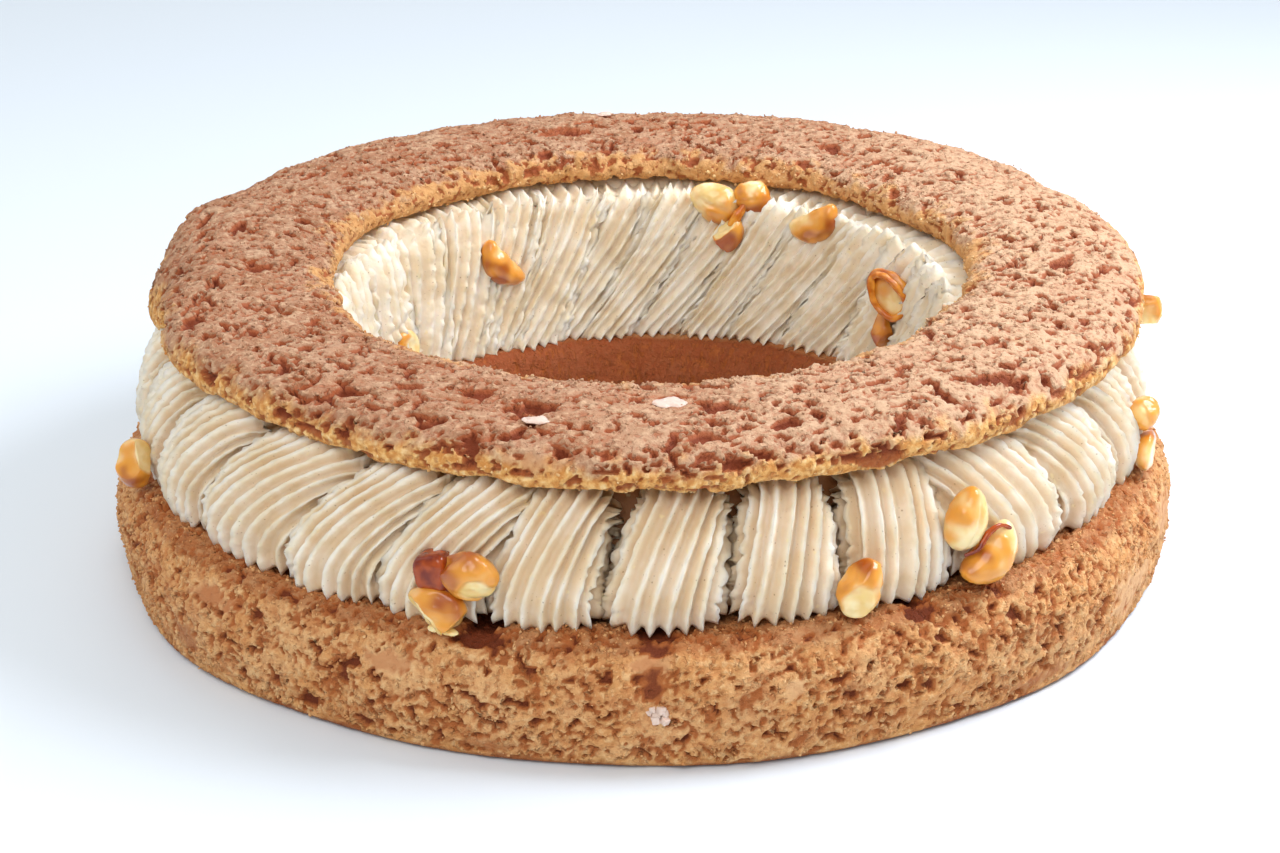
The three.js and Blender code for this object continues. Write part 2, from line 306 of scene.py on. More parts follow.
# Whipped praline buttercream, piped through a star nozzle: soft, slightly fatty, nearly matt, with
# light passing a little way in and specks of roasted nut.
def pralineCream(name, look):
    material, place = startMaterial(name)
    crest = addNode(material, "Attribute", output="Fac", attribute_name="crest")
    colour = layBlotches(material, look["pale"], look["deep"], place, 7, 0.35, 0.65)
    # painted shade: the grooves are painted darker than the crests, by the saved crest share
    colour = layOver(material, colour, look["groove"], crest, 0.9, 0.1, look["grooveShadeShare"])
    colour = layBlotches(material, colour, look["butter"], place, 2.4, 0.66, 0.76, 0.5)
    for spacing, radius, strength in look["specks"]:
        away = addNode(material, "TexVoronoi", {"Vector": place, "Scale": 1 / (spacing * mm)},
                       output="Distance")
        chance = addNode(material, "SeparateColor", {"Color": away.node.outputs["Color"]}, output="Red")
        chosen = addNode(material, "MapRange", {
            "Value": chance, "From Min": 0.62, "From Max": 0.66}, interpolation_type="SMOOTHSTEP")
        inside = addNode(material, "MapRange", {
            "Value": away, "From Min": 1.3 * radius, "From Max": 0.7 * radius, "To Max": strength},
            interpolation_type="SMOOTHSTEP")
        share = addNode(material, "Math", {0: inside, 1: chosen}, operation="MULTIPLY")
        colour = addNode(material, "Mix", {0: share, 6: colour, 7: look["speck"]}, output=2,
                         data_type="RGBA")
    froth = addNode(material, "TexNoise", {"Vector": place, "Scale": 1 / (1.1 * mm), "Detail": 4})
    normal = addNode(material, "Bump", {"Strength": 0.7, "Distance": 0.3 * mm, "Height": froth})
    return finishMaterial(material, {
        "Base Color": colour, "Roughness": 0.5, "Specular IOR Level": 0.35, "Normal": normal,
        "Subsurface Weight": 0.3, "Subsurface Radius": (1.0, 0.7, 0.45), "Subsurface Scale": 2.5 * mm})


# Nut kernels in hard caramel: pale waxy nut under a clear amber sugar film that pools darker.
def caramelisedNut(name, look):
    material, place = startMaterial(name)
    glaze = addNode(material, "Attribute", output="Fac", attribute_name="glaze")
    colour = layBlotches(material, look["kernel"], look["kernelDeep"], place, 4, 0.35, 0.65)
    colour = layOver(material, colour, look["amber"], glaze, 0.15, 0.8, 0.95)
    colour = layOver(material, colour, look["pool"], glaze, 0.75, 1.3, 0.9)
    return finishMaterial(material, {
        "Base Color": colour, "Roughness": 0.3, "Specular IOR Level": 0.4,
        "Coat Weight": 0.6, "Coat Roughness": 0.07, "Coat IOR": 1.45,
        "Subsurface Weight": 0.3, "Subsurface Radius": (1.0, 0.5, 0.2), "Subsurface Scale": 2.2 * mm})


# Sugar cooked to a clear amber, or on to a dark red-brown: glassy, with a little light inside.
def hardCaramel(name, dark, light):
    material, place = startMaterial(name)
    colour = layBlotches(material, dark, light, place, 3, 0.35, 0.65)
    return finishMaterial(material, {
        "Base Color": colour, "Roughness": 0.2, "Specular IOR Level": 0.35,
        "Coat Weight": 0.25, "Coat Roughness": 0.08, "Transmission Weight": 0.1,
        "Subsurface Weight": 0.2, "Subsurface Radius": (1.0, 0.4, 0.1), "Subsurface Scale": 1.5 * mm})


# Sugar that baked on in white flakes and grains, slightly see-through.
def bakedSugar(name, light, dark):
    material, place = startMaterial(name)
    cloud = addNode(material, "TexNoise", {"Vector": place, "Scale": 1 / (1.2 * mm)})
    colour = addNode(material, "Mix", {0: cloud, 6: light, 7: dark}, output=2, data_type="RGBA")
    return finishMaterial(material, {
        "Base Color": colour, "Roughness": 0.35,
        "Subsurface Weight": 0.3, "Subsurface Radius": (1.0, 0.9, 0.8), "Subsurface Scale": 1.0 * mm})


# two sizes of roasted nut in the cream: spacing, radius as a share of it, strength
nutSpecks = ((1.9, 0.1, 0.5), (1.0, 0.13, 0.35))
# the groove colour is a painted shade for the grooves of the cream
creamFinish = pralineCream("whippedPralineCream", {
    "pale": "#F6ECDA", "deep": "#E9D7B9", "groove": "#D2AD7E", "grooveShadeShare": 0.52,
    "butter": "#F1DFAA", "speck": "#8A6238", "specks": nutSpecks})
# the core's groove colour is a painted shade: dark brown on its outer side, seen only between the ropes
coreFinish = pralineCream("pralineCreamInShade", {
    "pale": "#F0E2CC", "deep": "#E2CBA8", "groove": "#9C683C", "grooveShadeShare": 1.0,
    "butter": "#E8D2A0", "speck": "#6A4018", "specks": nutSpecks})
nutFinish = caramelisedNut("caramelisedKernel", {
    "kernel": "#F4DFA8", "kernelDeep": "#ECC97E", "amber": "#E2962A", "pool": "#A04408"})
amberCaramel = hardCaramel("amberCaramel", "#C8690F", "#EFA23A")
darkCaramel = hardCaramel("darkCaramel", "#7A2405", "#B04A0C")
sugarFinish = bakedSugar("bakedSugar", "#E6CFC1", "#D8B9A5")


def giveFinish(piece, material, slot, *nodes):
    piece.data.materials.clear()
    piece.data.materials.append(material)
    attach(piece, "root")
    if nodes:
        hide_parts(*nodes)


# Spins a closed outline of (radius, height) points about the ring's axis.
def spinRing(name, outline, columns):
    deselectAll()
    bpy.ops.mesh.primitive_circle_add(vertices=len(outline), radius=mm)
    piece = bpy.context.object
    piece.name = piece.data.name = name
    outline = np.asarray(outline)
    writePoints(piece, np.stack([outline[:, 0], np.zeros(len(outline)), outline[:, 1]], axis=1) * mm)
    bpy.ops.object.mode_set(mode="EDIT")
    bpy.ops.mesh.select_all(action="SELECT")
    bpy.ops.mesh.spin(steps=columns, angle=2 * math.pi, center=(0, 0, 0), axis=(0, 0, 1))
    bpy.ops.mesh.select_all(action="SELECT")
    bpy.ops.mesh.remove_doubles(threshold=0.01 * mm)
    bpy.ops.mesh.normals_make_consistent(inside=False)
    bpy.ops.object.mode_set(mode="OBJECT")
    bpy.ops.object.shade_smooth()
    return piece


# Radius in millimetres and angle of each point.
def polarOf(points, centre=(0, 0)):
    x, y = points[:, 0] / mm - centre[0], points[:, 1] / mm - centre[1]
    return np.hypot(x, y), np.degrees(np.arctan2(y, x)) % 360


def angleGap(a, b):
    return (a - b + 180) % 360 - 180


# How far each point belongs to a ragged spot, from its two distances to the spot's middle.
def patch(points, along, across, halfAlong, halfAcross):
    away = np.hypot(along / halfAlong, across / halfAcross)
    for i in np.flatnonzero(away < 1.9):
        spot = Vector(points[i] / mm)
        away[i] += 0.7 * noise.noise(spot / 2.4) + 0.45 * noise.noise(spot / 1.1)
    return smoothStep(1.3, 0.6, away)


lid = {
    "radius": 110.4, "holeRadius": 71, "centre": (1.7, 3.7), "wander": 0.9,
    "underside": 55.9, "slopeX": -0.007, "slopeY": 0.037,
    "columns": 980, "step": 0.62,
    # the outline, from the outer foot over the top to the hole: distance from the rim, height
    "outerSide": [(2.6, 0), (1.0, 0.3), (0.2, 1.6), (0, 3.4), (0.7, 5.2), (2.4, 6.8), (4.6, 7.8),
                  (7, 8.4), (13.5, 9)],
    "innerSide": [(19.5, 8.9), (12.5, 8.4), (6, 7.6), (3.2, 6.8), (1.4, 5.6), (0.4, 4.2), (0.1, 2.6),
                  (0.8, 0.9), (2.4, 0)],
    "swell": [(22, 1.5), (9, 1.1), (4, 0.35)], # grain and height of the slow unevenness
    # domed cells of crumb with cracks between them, pits drawn out along the ring, and sand over all
    "cells": [{"size": 3.6, "width": 0.12, "deep": 0.4, "dome": 0.38},
              {"size": 1.7, "width": 0.18, "deep": 0.1, "dome": 0.34}],
    "pits": [{"size": 2.8, "deep": 1.7, "edge": (0.33, 0.39)},
             {"size": 1.5, "deep": 1.2, "edge": (0.29, 0.35)}],
    "stretch": 1.5, "sand": 0.06,
    # the edge at the far left reaches out as a torn flap and bends down beside a notch
    "flap": {"angle": 169, "halfWidth": 15, "reach": 3.6},
    "droop": {"angle": 179, "halfWidth": 17, "deep": 10},
    "notch": {"angle": 196, "halfWidth": 5, "deep": 4.5},
    "tear": 1.7, "tearLift": 2.4, # how far the inner edge is torn outwards and upwards
    "lipWave": 0.3, # how far the outer lip rises and falls
    "bareSpot": {"angle": 258.8, "radius": 109, "height": 5, "halfWidth": 5, "halfHeight": 2},
    # hollows where a piece of craquelin broke out: angle and radius about the lid's middle, half
    # width along the ring and across it, depth
    "hollows": [(256, 93, 4.6, 2.8, 2.2), (278, 92, 3.2, 2.2, 2), (248, 89, 3, 1.9, 1.8),
                (234, 100, 3, 1.8, 1.8), (285, 101, 3, 1.8, 1.8), (275, 104, 2.6, 1.8, 1.5),
                (273, 85, 3.2, 1.6, 1.5), (240, 93, 2.8, 1.6, 1.4), (305, 87, 2.4, 1.7, 1.6),
                (320, 91, 2.4, 1.8, 1.3), (312, 103, 2.6, 1.6, 1.5), (351, 92, 2.8, 1.8, 1.4),
                (204, 104, 2.2, 3, 1.8), (188, 87, 2.4, 2.8, 1.6), (104, 88, 5, 3, 0.9),
                (57, 86, 3.4, 2, 1.4)],
    "paintedLightSide": {"angle": 348, "share": 0.65}, # the side painted paler, as painted light from the lamp on that side
    "crumbs": 10500, "crumbMeshes": 2, "crumbSize": (0.45, 1.0),
}


# The underside of the lid is flat and slightly tilted.
def lidUnderside(x, y):
    return lid["underside"] + lid["slopeX"] * x + lid["slopeY"] * y


# 1 about the middle of a stretch of the edge, falling to 0 at its ends.
def alongEdge(angle, stretch):
    return smoothStep(1, 0.25, np.abs(angle - stretch["angle"]) / stretch["halfWidth"])


# How far the crumb tore at each point, out or in, in long and short bites.
def tornEdge(turn, height):
    return np.array([noise.noise(Vector((12 * math.cos(a), 12 * math.sin(a), z / 5)))
                     + 0.7 * noise.noise(Vector((34 * math.cos(a), 34 * math.sin(a), z / 3)))
                     for a, z in zip(turn, height)])


# Takes the plain ring to the shape of the lid, and gives the radius and height before it was laid.
def bendLid(piece):
    rim, hole, centre = lid["radius"], lid["holeRadius"], lid["centre"]
    points = readPoints(piece)
    radius, angle = polarOf(points)
    height = points[:, 2] / mm
    turn = np.radians(angle)
    outward = smoothStep(hole, rim, radius)
    away = np.abs(angle - lid["flap"]["angle"]) / lid["flap"]["halfWidth"]
    flap = np.where(away < 1, lid["flap"]["reach"] * (1 - away**3), 0)
    flap = flap - lid["notch"]["deep"] * alongEdge(angle, lid["notch"]) * smoothStep(8, 1, height)
    radius = (radius + outward * (outlineWave(5, lid["wander"])(angle) + flap)
              + (1 - outward) * outlineWave(6, lid["wander"])(angle))
    torn = tornEdge(turn, height)
    innerEdge = smoothStep(hole + 9, hole + 2, radius)
    radius = radius - lid["tear"] * torn * innerEdge * (0.6 + 0.4 * smoothStep(2, 7, height))
    x = radius * np.cos(turn) + centre[0]
    y = radius * np.sin(turn) + centre[1]
    # the lower lip sags and lifts in small waves
    lowerLip = smoothStep(rim - 7, rim - 2, radius) * smoothStep(5, 0, height)
    waves = np.sin(turn * 23 + 1) + np.sin(turn * 41 + 2.2) + 0.7 * np.sin(turn * 67)
    droop = lid["droop"]["deep"] * alongEdge(angle, lid["droop"])
    droop = droop * smoothStep(rim - 15, rim + 3, radius) ** 1.3 * (1 - 0.5 * smoothStep(2, 8, height))
    lift = lid["tearLift"] * np.clip(torn, 0, None) * smoothStep(hole + 7, hole + 2, radius)
    lift = lift * smoothStep(4.5, 0, height) + lid["lipWave"] * waves * lowerLip
    writePoints(piece, np.stack([x, y, lidUnderside(x, y) + height + lift - droop], axis=1) * mm)
    return radius, height


def makeLid():
    rim, hole = lid["radius"], lid["holeRadius"]
    outer = [(rim - inset, height) for inset, height in lid["outerSide"]]
    inner = [(hole + inset, height) for inset, height in lid["innerSide"]]
    top = smoothLine(outer + inner, lid["step"])
    below = smoothLine([top[-1], top[0]], 4.5)[1:-1]
    piece = spinRing("lidCrust", np.vstack([top, below]), lid["columns"])
    radius, height = bendLid(piece)
    points = readPoints(piece)
    under = (height < 0.05) & (radius > hole + 3) & (radius < rim - 3.4)
    innerRim = smoothStep(hole + 9, hole + 3, radius)
    craggy = np.where(under, 0, 1) * (0.5 + 0.5 * smoothStep(1, 5, height)) * (1 - 0.35 * innerRim)
    ragged = np.array([noise.noise(Vector(spot) / 6) + 0.7 * noise.noise(Vector(spot) / 2.2)
                       for spot in points / mm])
    golden = smoothStep(7.0, 3.0, height + 2.6 * ragged)
    browned = innerRim * smoothStep(7.2, 4.8, height + 3.2 * ragged) * 0.75
    lidRadius, lidAngle = polarOf(points, lid["centre"])
    hollow = np.zeros(len(points))
    for angle, middle, halfAlong, halfAcross, deep in lid["hollows"]:
        along = np.radians(angleGap(lidAngle, angle)) * middle
        here = patch(points, along, lidRadius - middle, halfAlong, halfAcross)
        hollow = np.maximum(hollow, deep * here * smoothStep(3, 5, height))
    spot = lid["bareSpot"]
    along = np.radians(angleGap(lidAngle, spot["angle"])) * spot["radius"]
    bare = patch(points, along, height - spot["height"], spot["halfWidth"], spot["halfHeight"])
    bare = bare * (lidRadius > 100)
    return piece, craggy * (1 - 0.7 * bare), np.maximum(golden, browned), browned, hollow, bare


# Dries and cracks a crust. Returns how deep each point lies in a crack, a pit or a hollow.
def crackCrust(piece, craggy, hollow, settings):
    points, normals = readPoints(piece), readNormals(piece)
    radius, angle = polarOf(points)
    alongRing = np.radians(angle) * settings["radius"] / settings["stretch"]
    laid = np.stack([radius, alongRing, points[:, 2] / mm], axis=1)
    borders = np.zeros((len(settings["cells"]), len(points)))
    domes = np.zeros_like(borders)
    pores = np.zeros((len(settings["pits"]), len(points)))
    patchy = np.zeros(len(points))
    for i in np.flatnonzero(craggy > 0.02):
        spot = Vector(points[i] / mm)
        bend = noise.noise_vector(spot / 2.6) * 1.1 + noise.noise_vector(spot / 1.1) * 0.6
        for k, cell in enumerate(settings["cells"]):
            near = noise.voronoi((spot + bend) / cell["size"])[0]
            borders[k, i], domes[k, i] = near[1] - near[0], near[0]
        for k, pit in enumerate(settings["pits"]):
            pores[k, i] = noise.noise((Vector(laid[i]) + bend) / pit["size"] + Vector((9 * k, 0, 0)))
        patchy[i] = noise.noise(spot / 7)
    crack = np.zeros(len(points))
    lift = np.zeros(len(points))
    for border, dome, cell in zip(borders, domes, settings["cells"]):
        crack += cell["deep"] * smoothStep(cell["width"], 0.02, border) * smoothStep(-0.35, 0.15, patchy)
        lift += cell["dome"] * (0.45 - dome)
    for pore, pit in zip(pores, settings["pits"]):
        crack = np.maximum(crack, pit["deep"] * smoothStep(*pit["edge"], pore + 0.12 * patchy))
    crack = np.maximum(crack * craggy, hollow)
    sand = np.random.default_rng(7).normal(size=len(points)) * smoothStep(1.3, 0.3, crack)
    lift = (lift + settings["sand"] * sand) * craggy
    writePoints(piece, points + normals * ((lift - crack) * mm)[:, None])
    return crack


# Gives a crust its swells, cells, cracks and pits, and saves how deep each point lies.
def weather(piece, craggy, hollow, settings):
    smoothPoints, smoothNormals = readPoints(piece), readNormals(piece)
    saveGroup(piece, "craggy", craggy)
    for grain, height in settings["swell"]:
        roughen(piece, grain, height, "craggy")
    crack = crackCrust(piece, craggy, hollow, settings)
    depth = ((readPoints(piece) - smoothPoints) * smoothNormals).sum(axis=1) / mm
    saveAttribute(piece, "crack", crack)
    saveAttribute(piece, "depth", depth)
    return crack


# Scatters small broken crumbs over a crust, more of them where `share` is high. They are shared out
# over a few meshes, because one would grow too heavy.
def scatterCrumbs(name, crust, share, settings, golden, pale, seed, material, slot):
    rng = np.random.default_rng(seed)
    points, normals = readPoints(crust), readNormals(crust)
    deselectAll()
    bpy.ops.mesh.primitive_ico_sphere_add(subdivisions=1, radius=1)
    pattern = bpy.context.object
    shape = readPoints(pattern)
    faces = np.array([p.vertices for p in pattern.data.polygons])
    bpy.data.objects.remove(pattern)
    count = settings["crumbs"]
    picked = rng.choice(len(points), count, p=share / share.sum())
    low, high = settings["crumbSize"]
    size = low + (high - low) * rng.random(count) ** 2.2
    jag = 1 + 0.6 * (rng.random((count, len(shape))) - 0.5)
    axes = np.linalg.qr(rng.normal(size=(count, 3, 3)))[0]
    stretch = 0.55 + 0.8 * rng.random((count, 1, 3))
    bodies = np.einsum("nij,nvj->nvi", axes, shape[None] * jag[:, :, None] * stretch)
    middle = points[picked] + normals[picked] * (-0.38 * size * mm)[:, None]
    middle += rng.normal(size=(count, 3)) * 0.2 * mm
    corners = middle[:, None] + bodies * (size / 2 * mm)[:, None, None]
    corners[:, :, 2] = np.maximum(corners[:, :, 2], 0)
    shade = rng.random(count)
    # the crumbs carry the same painted side light as the crust
    layers = {"shade": shade, "zone": golden[picked], "paintedSideLight": pale[picked]}
    for part, batch in enumerate(np.array_split(np.arange(count), settings["crumbMeshes"])):
        triangles = faces[None] + (np.arange(len(batch)) * len(shape))[:, None, None]
        piece = meshPiece(f"{name}{part + 1}", corners[batch].reshape(-1, 3).tolist(),
                          triangles.reshape(-1, 3).tolist())
        takeUp(piece)
        bpy.ops.object.shade_smooth()
        for layer, values in layers.items():
            saveAttribute(piece, layer, np.repeat(values[batch], len(shape)))
        giveFinish(piece, material, slot)


lidPiece, lidCraggy, lidGolden, lidBrowned, lidHollow, lidBare = makeLid()
lidCrack = weather(lidPiece, lidCraggy, lidHollow, lid)
lidAngle = polarOf(readPoints(lidPiece))[1]
# painted light: the lid is painted paler towards the side that the lamp lights most
lidPaintedSideLight = smoothStep(-0.2, 1, np.cos(np.radians(lidAngle - lid["paintedLightSide"]["angle"])))
lidPaintedSideLight *= lid["paintedLightSide"]["share"]
saveAttribute(lidPiece, "zone", lidGolden)
saveAttribute(lidPiece, "browned", lidBrowned)
saveAttribute(lidPiece, "bare", 0.7 * lidBare)
saveAttribute(lidPiece, "paintedSideLight", lidPaintedSideLight)
giveFinish(lidPiece, bakedCrust("lidCraquelin", lidLook), "lid_crust", "lid_ring")
# crumbs lie thickest by the hole, and few of them in cracks and on the golden edge
byHole = smoothStep(82, 74, polarOf(readPoints(lidPiece), lid["centre"])[0])
lidShare = np.where(lidCraggy > 0.3, 1 + 2.5 * byHole, 0) * smoothStep(0.6, 0.15, lidCrack)
lidShare *= (1 - 0.6 * lidGolden) * (1 - 0.5 * lidBrowned) * (1 - lidBare)
scatterCrumbs("lidCrumbs", lidPiece, lidShare, lid, lidGolden, lidPaintedSideLight, 31,
              crumbMaterial("lidCrumbSugar", lidLook), "lid_crust")
print("lid done:", len(lidPiece.data.polygons), "faces")


base = {
    "radius": 120, "holeRadius": 61.5, "wander": 0.8,
    "seatRadius": 66.6, "seatHeight": 20.3, "seatSlope": 0.0925,
    "columns": 1030, "step": 0.66, "holeStep": 1.1,
    # the outline of the wall and its ledge, and of the hole: distance from the rim, height
    "outerSide": [(4.0, 0), (2.2, 0.7), (1.4, 3.6), (0.6, 9), (0.6, 14.5), (1.7, 18.9), (3.8, 22.4),
                  (5.8, 24.4), (8.2, 25.2), (11.1, 24.9), (14.6, 24.2), (18.6, 23.6)],
    "innerSide": [(3.9, 20.2), (2.2, 19.2), (1.0, 16.8), (0, 11), (1, 4), (3.6, 0)],
    "swell": [(16, 1.4), (5, 0.9)],
    "cells": [{"size": 4.2, "width": 0.12, "deep": 0.6, "dome": 0.5},
              {"size": 1.7, "width": 0.2, "deep": 0.25, "dome": 0.65}],
    "pits": [{"size": 2.6, "deep": 1.4, "edge": (0.39, 0.46)},
             {"size": 1.5, "deep": 0.9, "edge": (0.35, 0.43)}],
    "stretch": 1.0, "sand": 0.15,
    # smooth spots where no craquelin sits: angle, height, half width, half height, depth
    "paleSpots": [(222.5, 19.4, 7, 2.2, 0.5), (245.2, 18, 6, 2, 0.4), (270.2, 21.4, 3.4, 1.6, 0.4),
                  (283.5, 15.5, 2.6, 1.5, 0.2), (328.7, 9, 12, 5, 0.2), (343, 14, 10, 4.5, 0.3),
                  (12, 12, 9, 5, 0.3), (60, 10, 8, 3, 0.3), (165, 9, 9, 4, 0.3)],
    # hollows painted darker, partly a deeper bake and partly painted shade: angle, height, half width, half
    # height, depth
    "toastedAndShadedSpots": [(218.4, 7.8, 4.5, 3.4, 0.3), (270.6, 17.4, 2.1, 2.8, 1.3), (311, 3.6, 9, 1.6, 0.2),
                     (235.5, 4.2, 2.4, 1.6, 1.6), (255, 3.4, 8, 1.4, 0.2), (254, 24.4, 5, 1.6, 2),
                     (270.8, 24.4, 4.6, 1.4, 1.5), (297.5, 24.4, 4, 1.6, 1.8), (118, 15, 6, 3, 0.4)],
    "crumbs": 14000, "crumbMeshes": 2, "crumbSize": (0.45, 1.1),
}


# The cream stands on a seat that rises a little outwards.
def seatHeight(radius):
    return base["seatHeight"] + base["seatSlope"] * (radius - base["seatRadius"])


# How far each point of the wall lies in one of the spots, and how deep.
def wallSpots(points, angle, height, onWall, spots):
    share, deepest = np.zeros((2, len(points)))
    for middle, level, halfWidth, halfHeight, deep in spots:
        along = np.radians(angleGap(angle, middle)) * base["radius"]
        here = onWall * patch(points, along, height - level, halfWidth, halfHeight)
        share = np.maximum(share, here)
        deepest = np.maximum(deepest, deep * here)
    return share, deepest


def makeBase():
    outer = [(base["radius"] - inset, height) for inset, height in base["outerSide"]]
    inner = [(base["holeRadius"] + inset, height) for inset, height in base["innerSide"]]
    wall = smoothLine(outer, base["step"])
    seat = smoothLine([wall[-1], inner[0]], 5)[1:-1]
    hole = smoothLine(inner, base["holeStep"])
    below = smoothLine([hole[-1], wall[0]], 6)[1:-1]
    piece = spinRing("baseCrust", np.vstack([wall, seat, hole, below]), base["columns"])
    points = readPoints(piece)
    radius, angle = polarOf(points)
    height = points[:, 2] / mm
    outward = smoothStep(base["holeRadius"], base["radius"], radius)
    moved = (radius + outward * outlineWave(3, base["wander"])(angle)
             + (1 - outward) * outlineWave(4, base["wander"])(angle))
    turn = np.radians(angle)
    writePoints(piece, np.stack([moved * np.cos(turn), moved * np.sin(turn), height], axis=1) * mm)
    onWall = smoothStep(98, 102, radius)
    inside = smoothStep(70, 66, radius)
    holeWall = inside * smoothStep(0, 2, height) * smoothStep(21, 19, height)
    points = readPoints(piece)
    pale, paleDeep = wallSpots(points, angle, height, onWall, base["paleSpots"])
    toastedAndShaded, toastedDeep = wallSpots(points, angle, height, onWall, base["toastedAndShadedSpots"])
    craggy = np.maximum(onWall * smoothStep(0, 2.5, height), 0.6 * holeWall)
    craggy *= 1 - 0.7 * np.maximum(pale, toastedAndShaded)
    return piece, craggy, inside, pale, toastedAndShaded, np.maximum(paleDeep, toastedDeep), height, turn


basePiece, baseCraggy, baseInside, basePale, baseToastedAndShaded, baseHollow, baseHeight, baseTurn = makeBase()
baseRadius = polarOf(readPoints(basePiece))[0]
baseCrack = weather(basePiece, baseCraggy, baseHollow, base)
standing = readPoints(basePiece)
standing[:, 2] = np.maximum(standing[:, 2], 0)
writePoints(basePiece, standing)
# the ledge that the cream stands on is painted darker, partly a deeper bake and partly painted shade under
# the cream; the bottom edge caught more heat
ledgeWave = 1.2 * np.sin(baseTurn * 37) * np.sin(baseTurn * 11)
ledge = smoothStep(118, 115, baseRadius + ledgeWave) * smoothStep(22, 23.6, baseHeight) * (baseRadius > 100)
footWave = 0.8 * np.sin(baseTurn * 29) * np.sin(baseTurn * 13)
foot = smoothStep(1.8, 0.2, baseHeight + footWave)
saveAttribute(basePiece, "zone", smoothStep(4.5, 1.5, baseHeight) * (1 - baseInside) * 0.6)
# painted shade: the hole inside and the ledge under the cream are painted darker, over their own browning
baseBrownedAndShade = np.max([0.8 * foot, 0.92 * baseInside, 0.45 * baseToastedAndShaded, 0.5 * ledge], axis=0)
saveAttribute(basePiece, "browned", baseBrownedAndShade)
saveAttribute(basePiece, "bare", 0.7 * basePale)
giveFinish(basePiece, bakedCrust("baseCraquelin", baseLook), "base_crust", "base_ring")
baseShare = np.where(baseCraggy > 0.5, 1, 0) * smoothStep(0.7, 0.15, baseCrack)
baseShare *= (1 - np.maximum(basePale, baseToastedAndShaded)) * (1 - baseInside) * (1 - 0.35 * ledge)
plain = np.zeros(len(baseShare))
scatterCrumbs("baseCrumbs", basePiece, baseShare, base, plain, plain, 32,
              crumbMaterial("baseCrumbSugar", baseLook), "base_crust")
print("base done:", len(basePiece.data.polygons), "faces")


cream = {
    "gap": 0.3, "firstStart": 214.5,
    "widths": [15.5, 12, 11.5, 12.2, 12.8, 12, 13.5, 16.5, 13.5, 14, 14, 13, 13.5, 13,
               12.9, 10.1, 11, 9.9, 12.6, 12, 12.4, 12.6, 15, 13, 13, 13, 13, 12.5],
    "unevenness": 1.1,
    # how far each rope's top is swung from its outer foot, and the twist of its ridges on the way
    # up: angle, degrees, ridges
    "sweep": [(0, -4, -1.5), (60, -3, -1.5), (110, 3, 1.5), (190, 6, 2.4), (222, 8.5, 2.8), (240, 8, 2.6),
              (250, 5.5, 2.4), (260, 2.6, 1.9), (272, 2.2, 1.9), (285, 0.8, 1.3), (297, 0, 0.7),
              (311, -5, -1.6), (330, -6, -1.8), (360, -4, -1.5)],
    # how full a rope is for its place, and how much it narrows towards its top: angle, shares
    "fullness": [(0, 1.04, 0.04), (190, 1.06, 0.04), (222, 1.12, 0.02), (250, 1.1, 0.04), (260, 1.01, 0.15),
                 (297, 1.0, 0.14), (312, 1.07, 0.04), (360, 1.04, 0.04)],
    # how far its inner foot is swung from its top: angle, degrees
    "innerLean": [(0, 14), (30, 18), (60, 19), (90, 14), (110, 8), (130, 1), (150, -6), (180, -7),
                  (210, -3), (270, 2), (330, 9), (360, 14)],
    # the outline that each rope follows, from its inner foot over the top to its outer foot:
    # radius, and height as a share of the room between the crusts
    "innerWall": [(65.8, 0), (64.9, 0.12), (64.4, 0.34), (64.4, 0.6), (65.2, 0.8), (67.4, 0.94), (71.4, 1)],
    "outerWall": [(100.5, 1), (104.4, 0.955), (107.6, 0.85), (110.4, 0.68), (112.8, 0.46), (113.6, 0.27),
                  (112.8, 0.1), (111.4, 0)],
    "step": 0.7,
    "ridges": 20, "pointsPerRidge": 6, "innerFullness": 1.35, "innerSpread": 0.25,
    # inside the ring and outside it: half depth of a rope, how boxy it is, how deep its ridges are
    # and how far their crests are torn
    "halfDepth": (6.4, 9.6), "boxiness": (2.8, 2.7), "ridgeDepth": (2.4, 2.5), "torn": (0.62, 0.3),
    "tornSides": 0.4, "tearShare": 0.035, "tearDepth": 2.2,
    "innerTwist": 2.9, "innerPitch": 0.22, # the few ridges that the inner wall shows are wide apart
    "tip": 3.5, "tipEdge": (70.6, 68), # how far the ridges stand up in torn tips inside the lid, and where
    "tooth": 1.0, "sunk": 0.75, "footLength": 3, # teeth at the foot, and how far they sink into the crumb
    "endDome": 0.8, # how far an end of a rope is rounded
}


# A value that changes round the ring, at one heading. The first column of its rows is the angle.
def aroundRing(rows, heading, column=1):
    rows = np.array(rows)
    return np.interp(heading, rows[:, 0], rows[:, column])


# From the first value inside the ring to the second outside it.
def between(pair, side):
    return pair[0] + (pair[1] - pair[0]) * side


# The line of a rope in three parts: up inside the ring, over its top and down outside.
def creamPath(middle, outerReach, innerReach):
    def place(radius, share, reach):
        low = seatHeight(radius) + cream["gap"]
        high = lidUnderside(radius * math.cos(middle), radius * math.sin(middle)) - cream["gap"]
        return (radius + reach, low + share * (high - low))
    inner = smoothLine([place(r, s, -innerReach) for r, s in cream["innerWall"]], cream["step"])
    outer = smoothLine([place(r, s, outerReach) for r, s in cream["outerWall"]], cream["step"])
    over = smoothLine([inner[-1], outer[0]], 4)[1:-1]
    return inner, over, outer


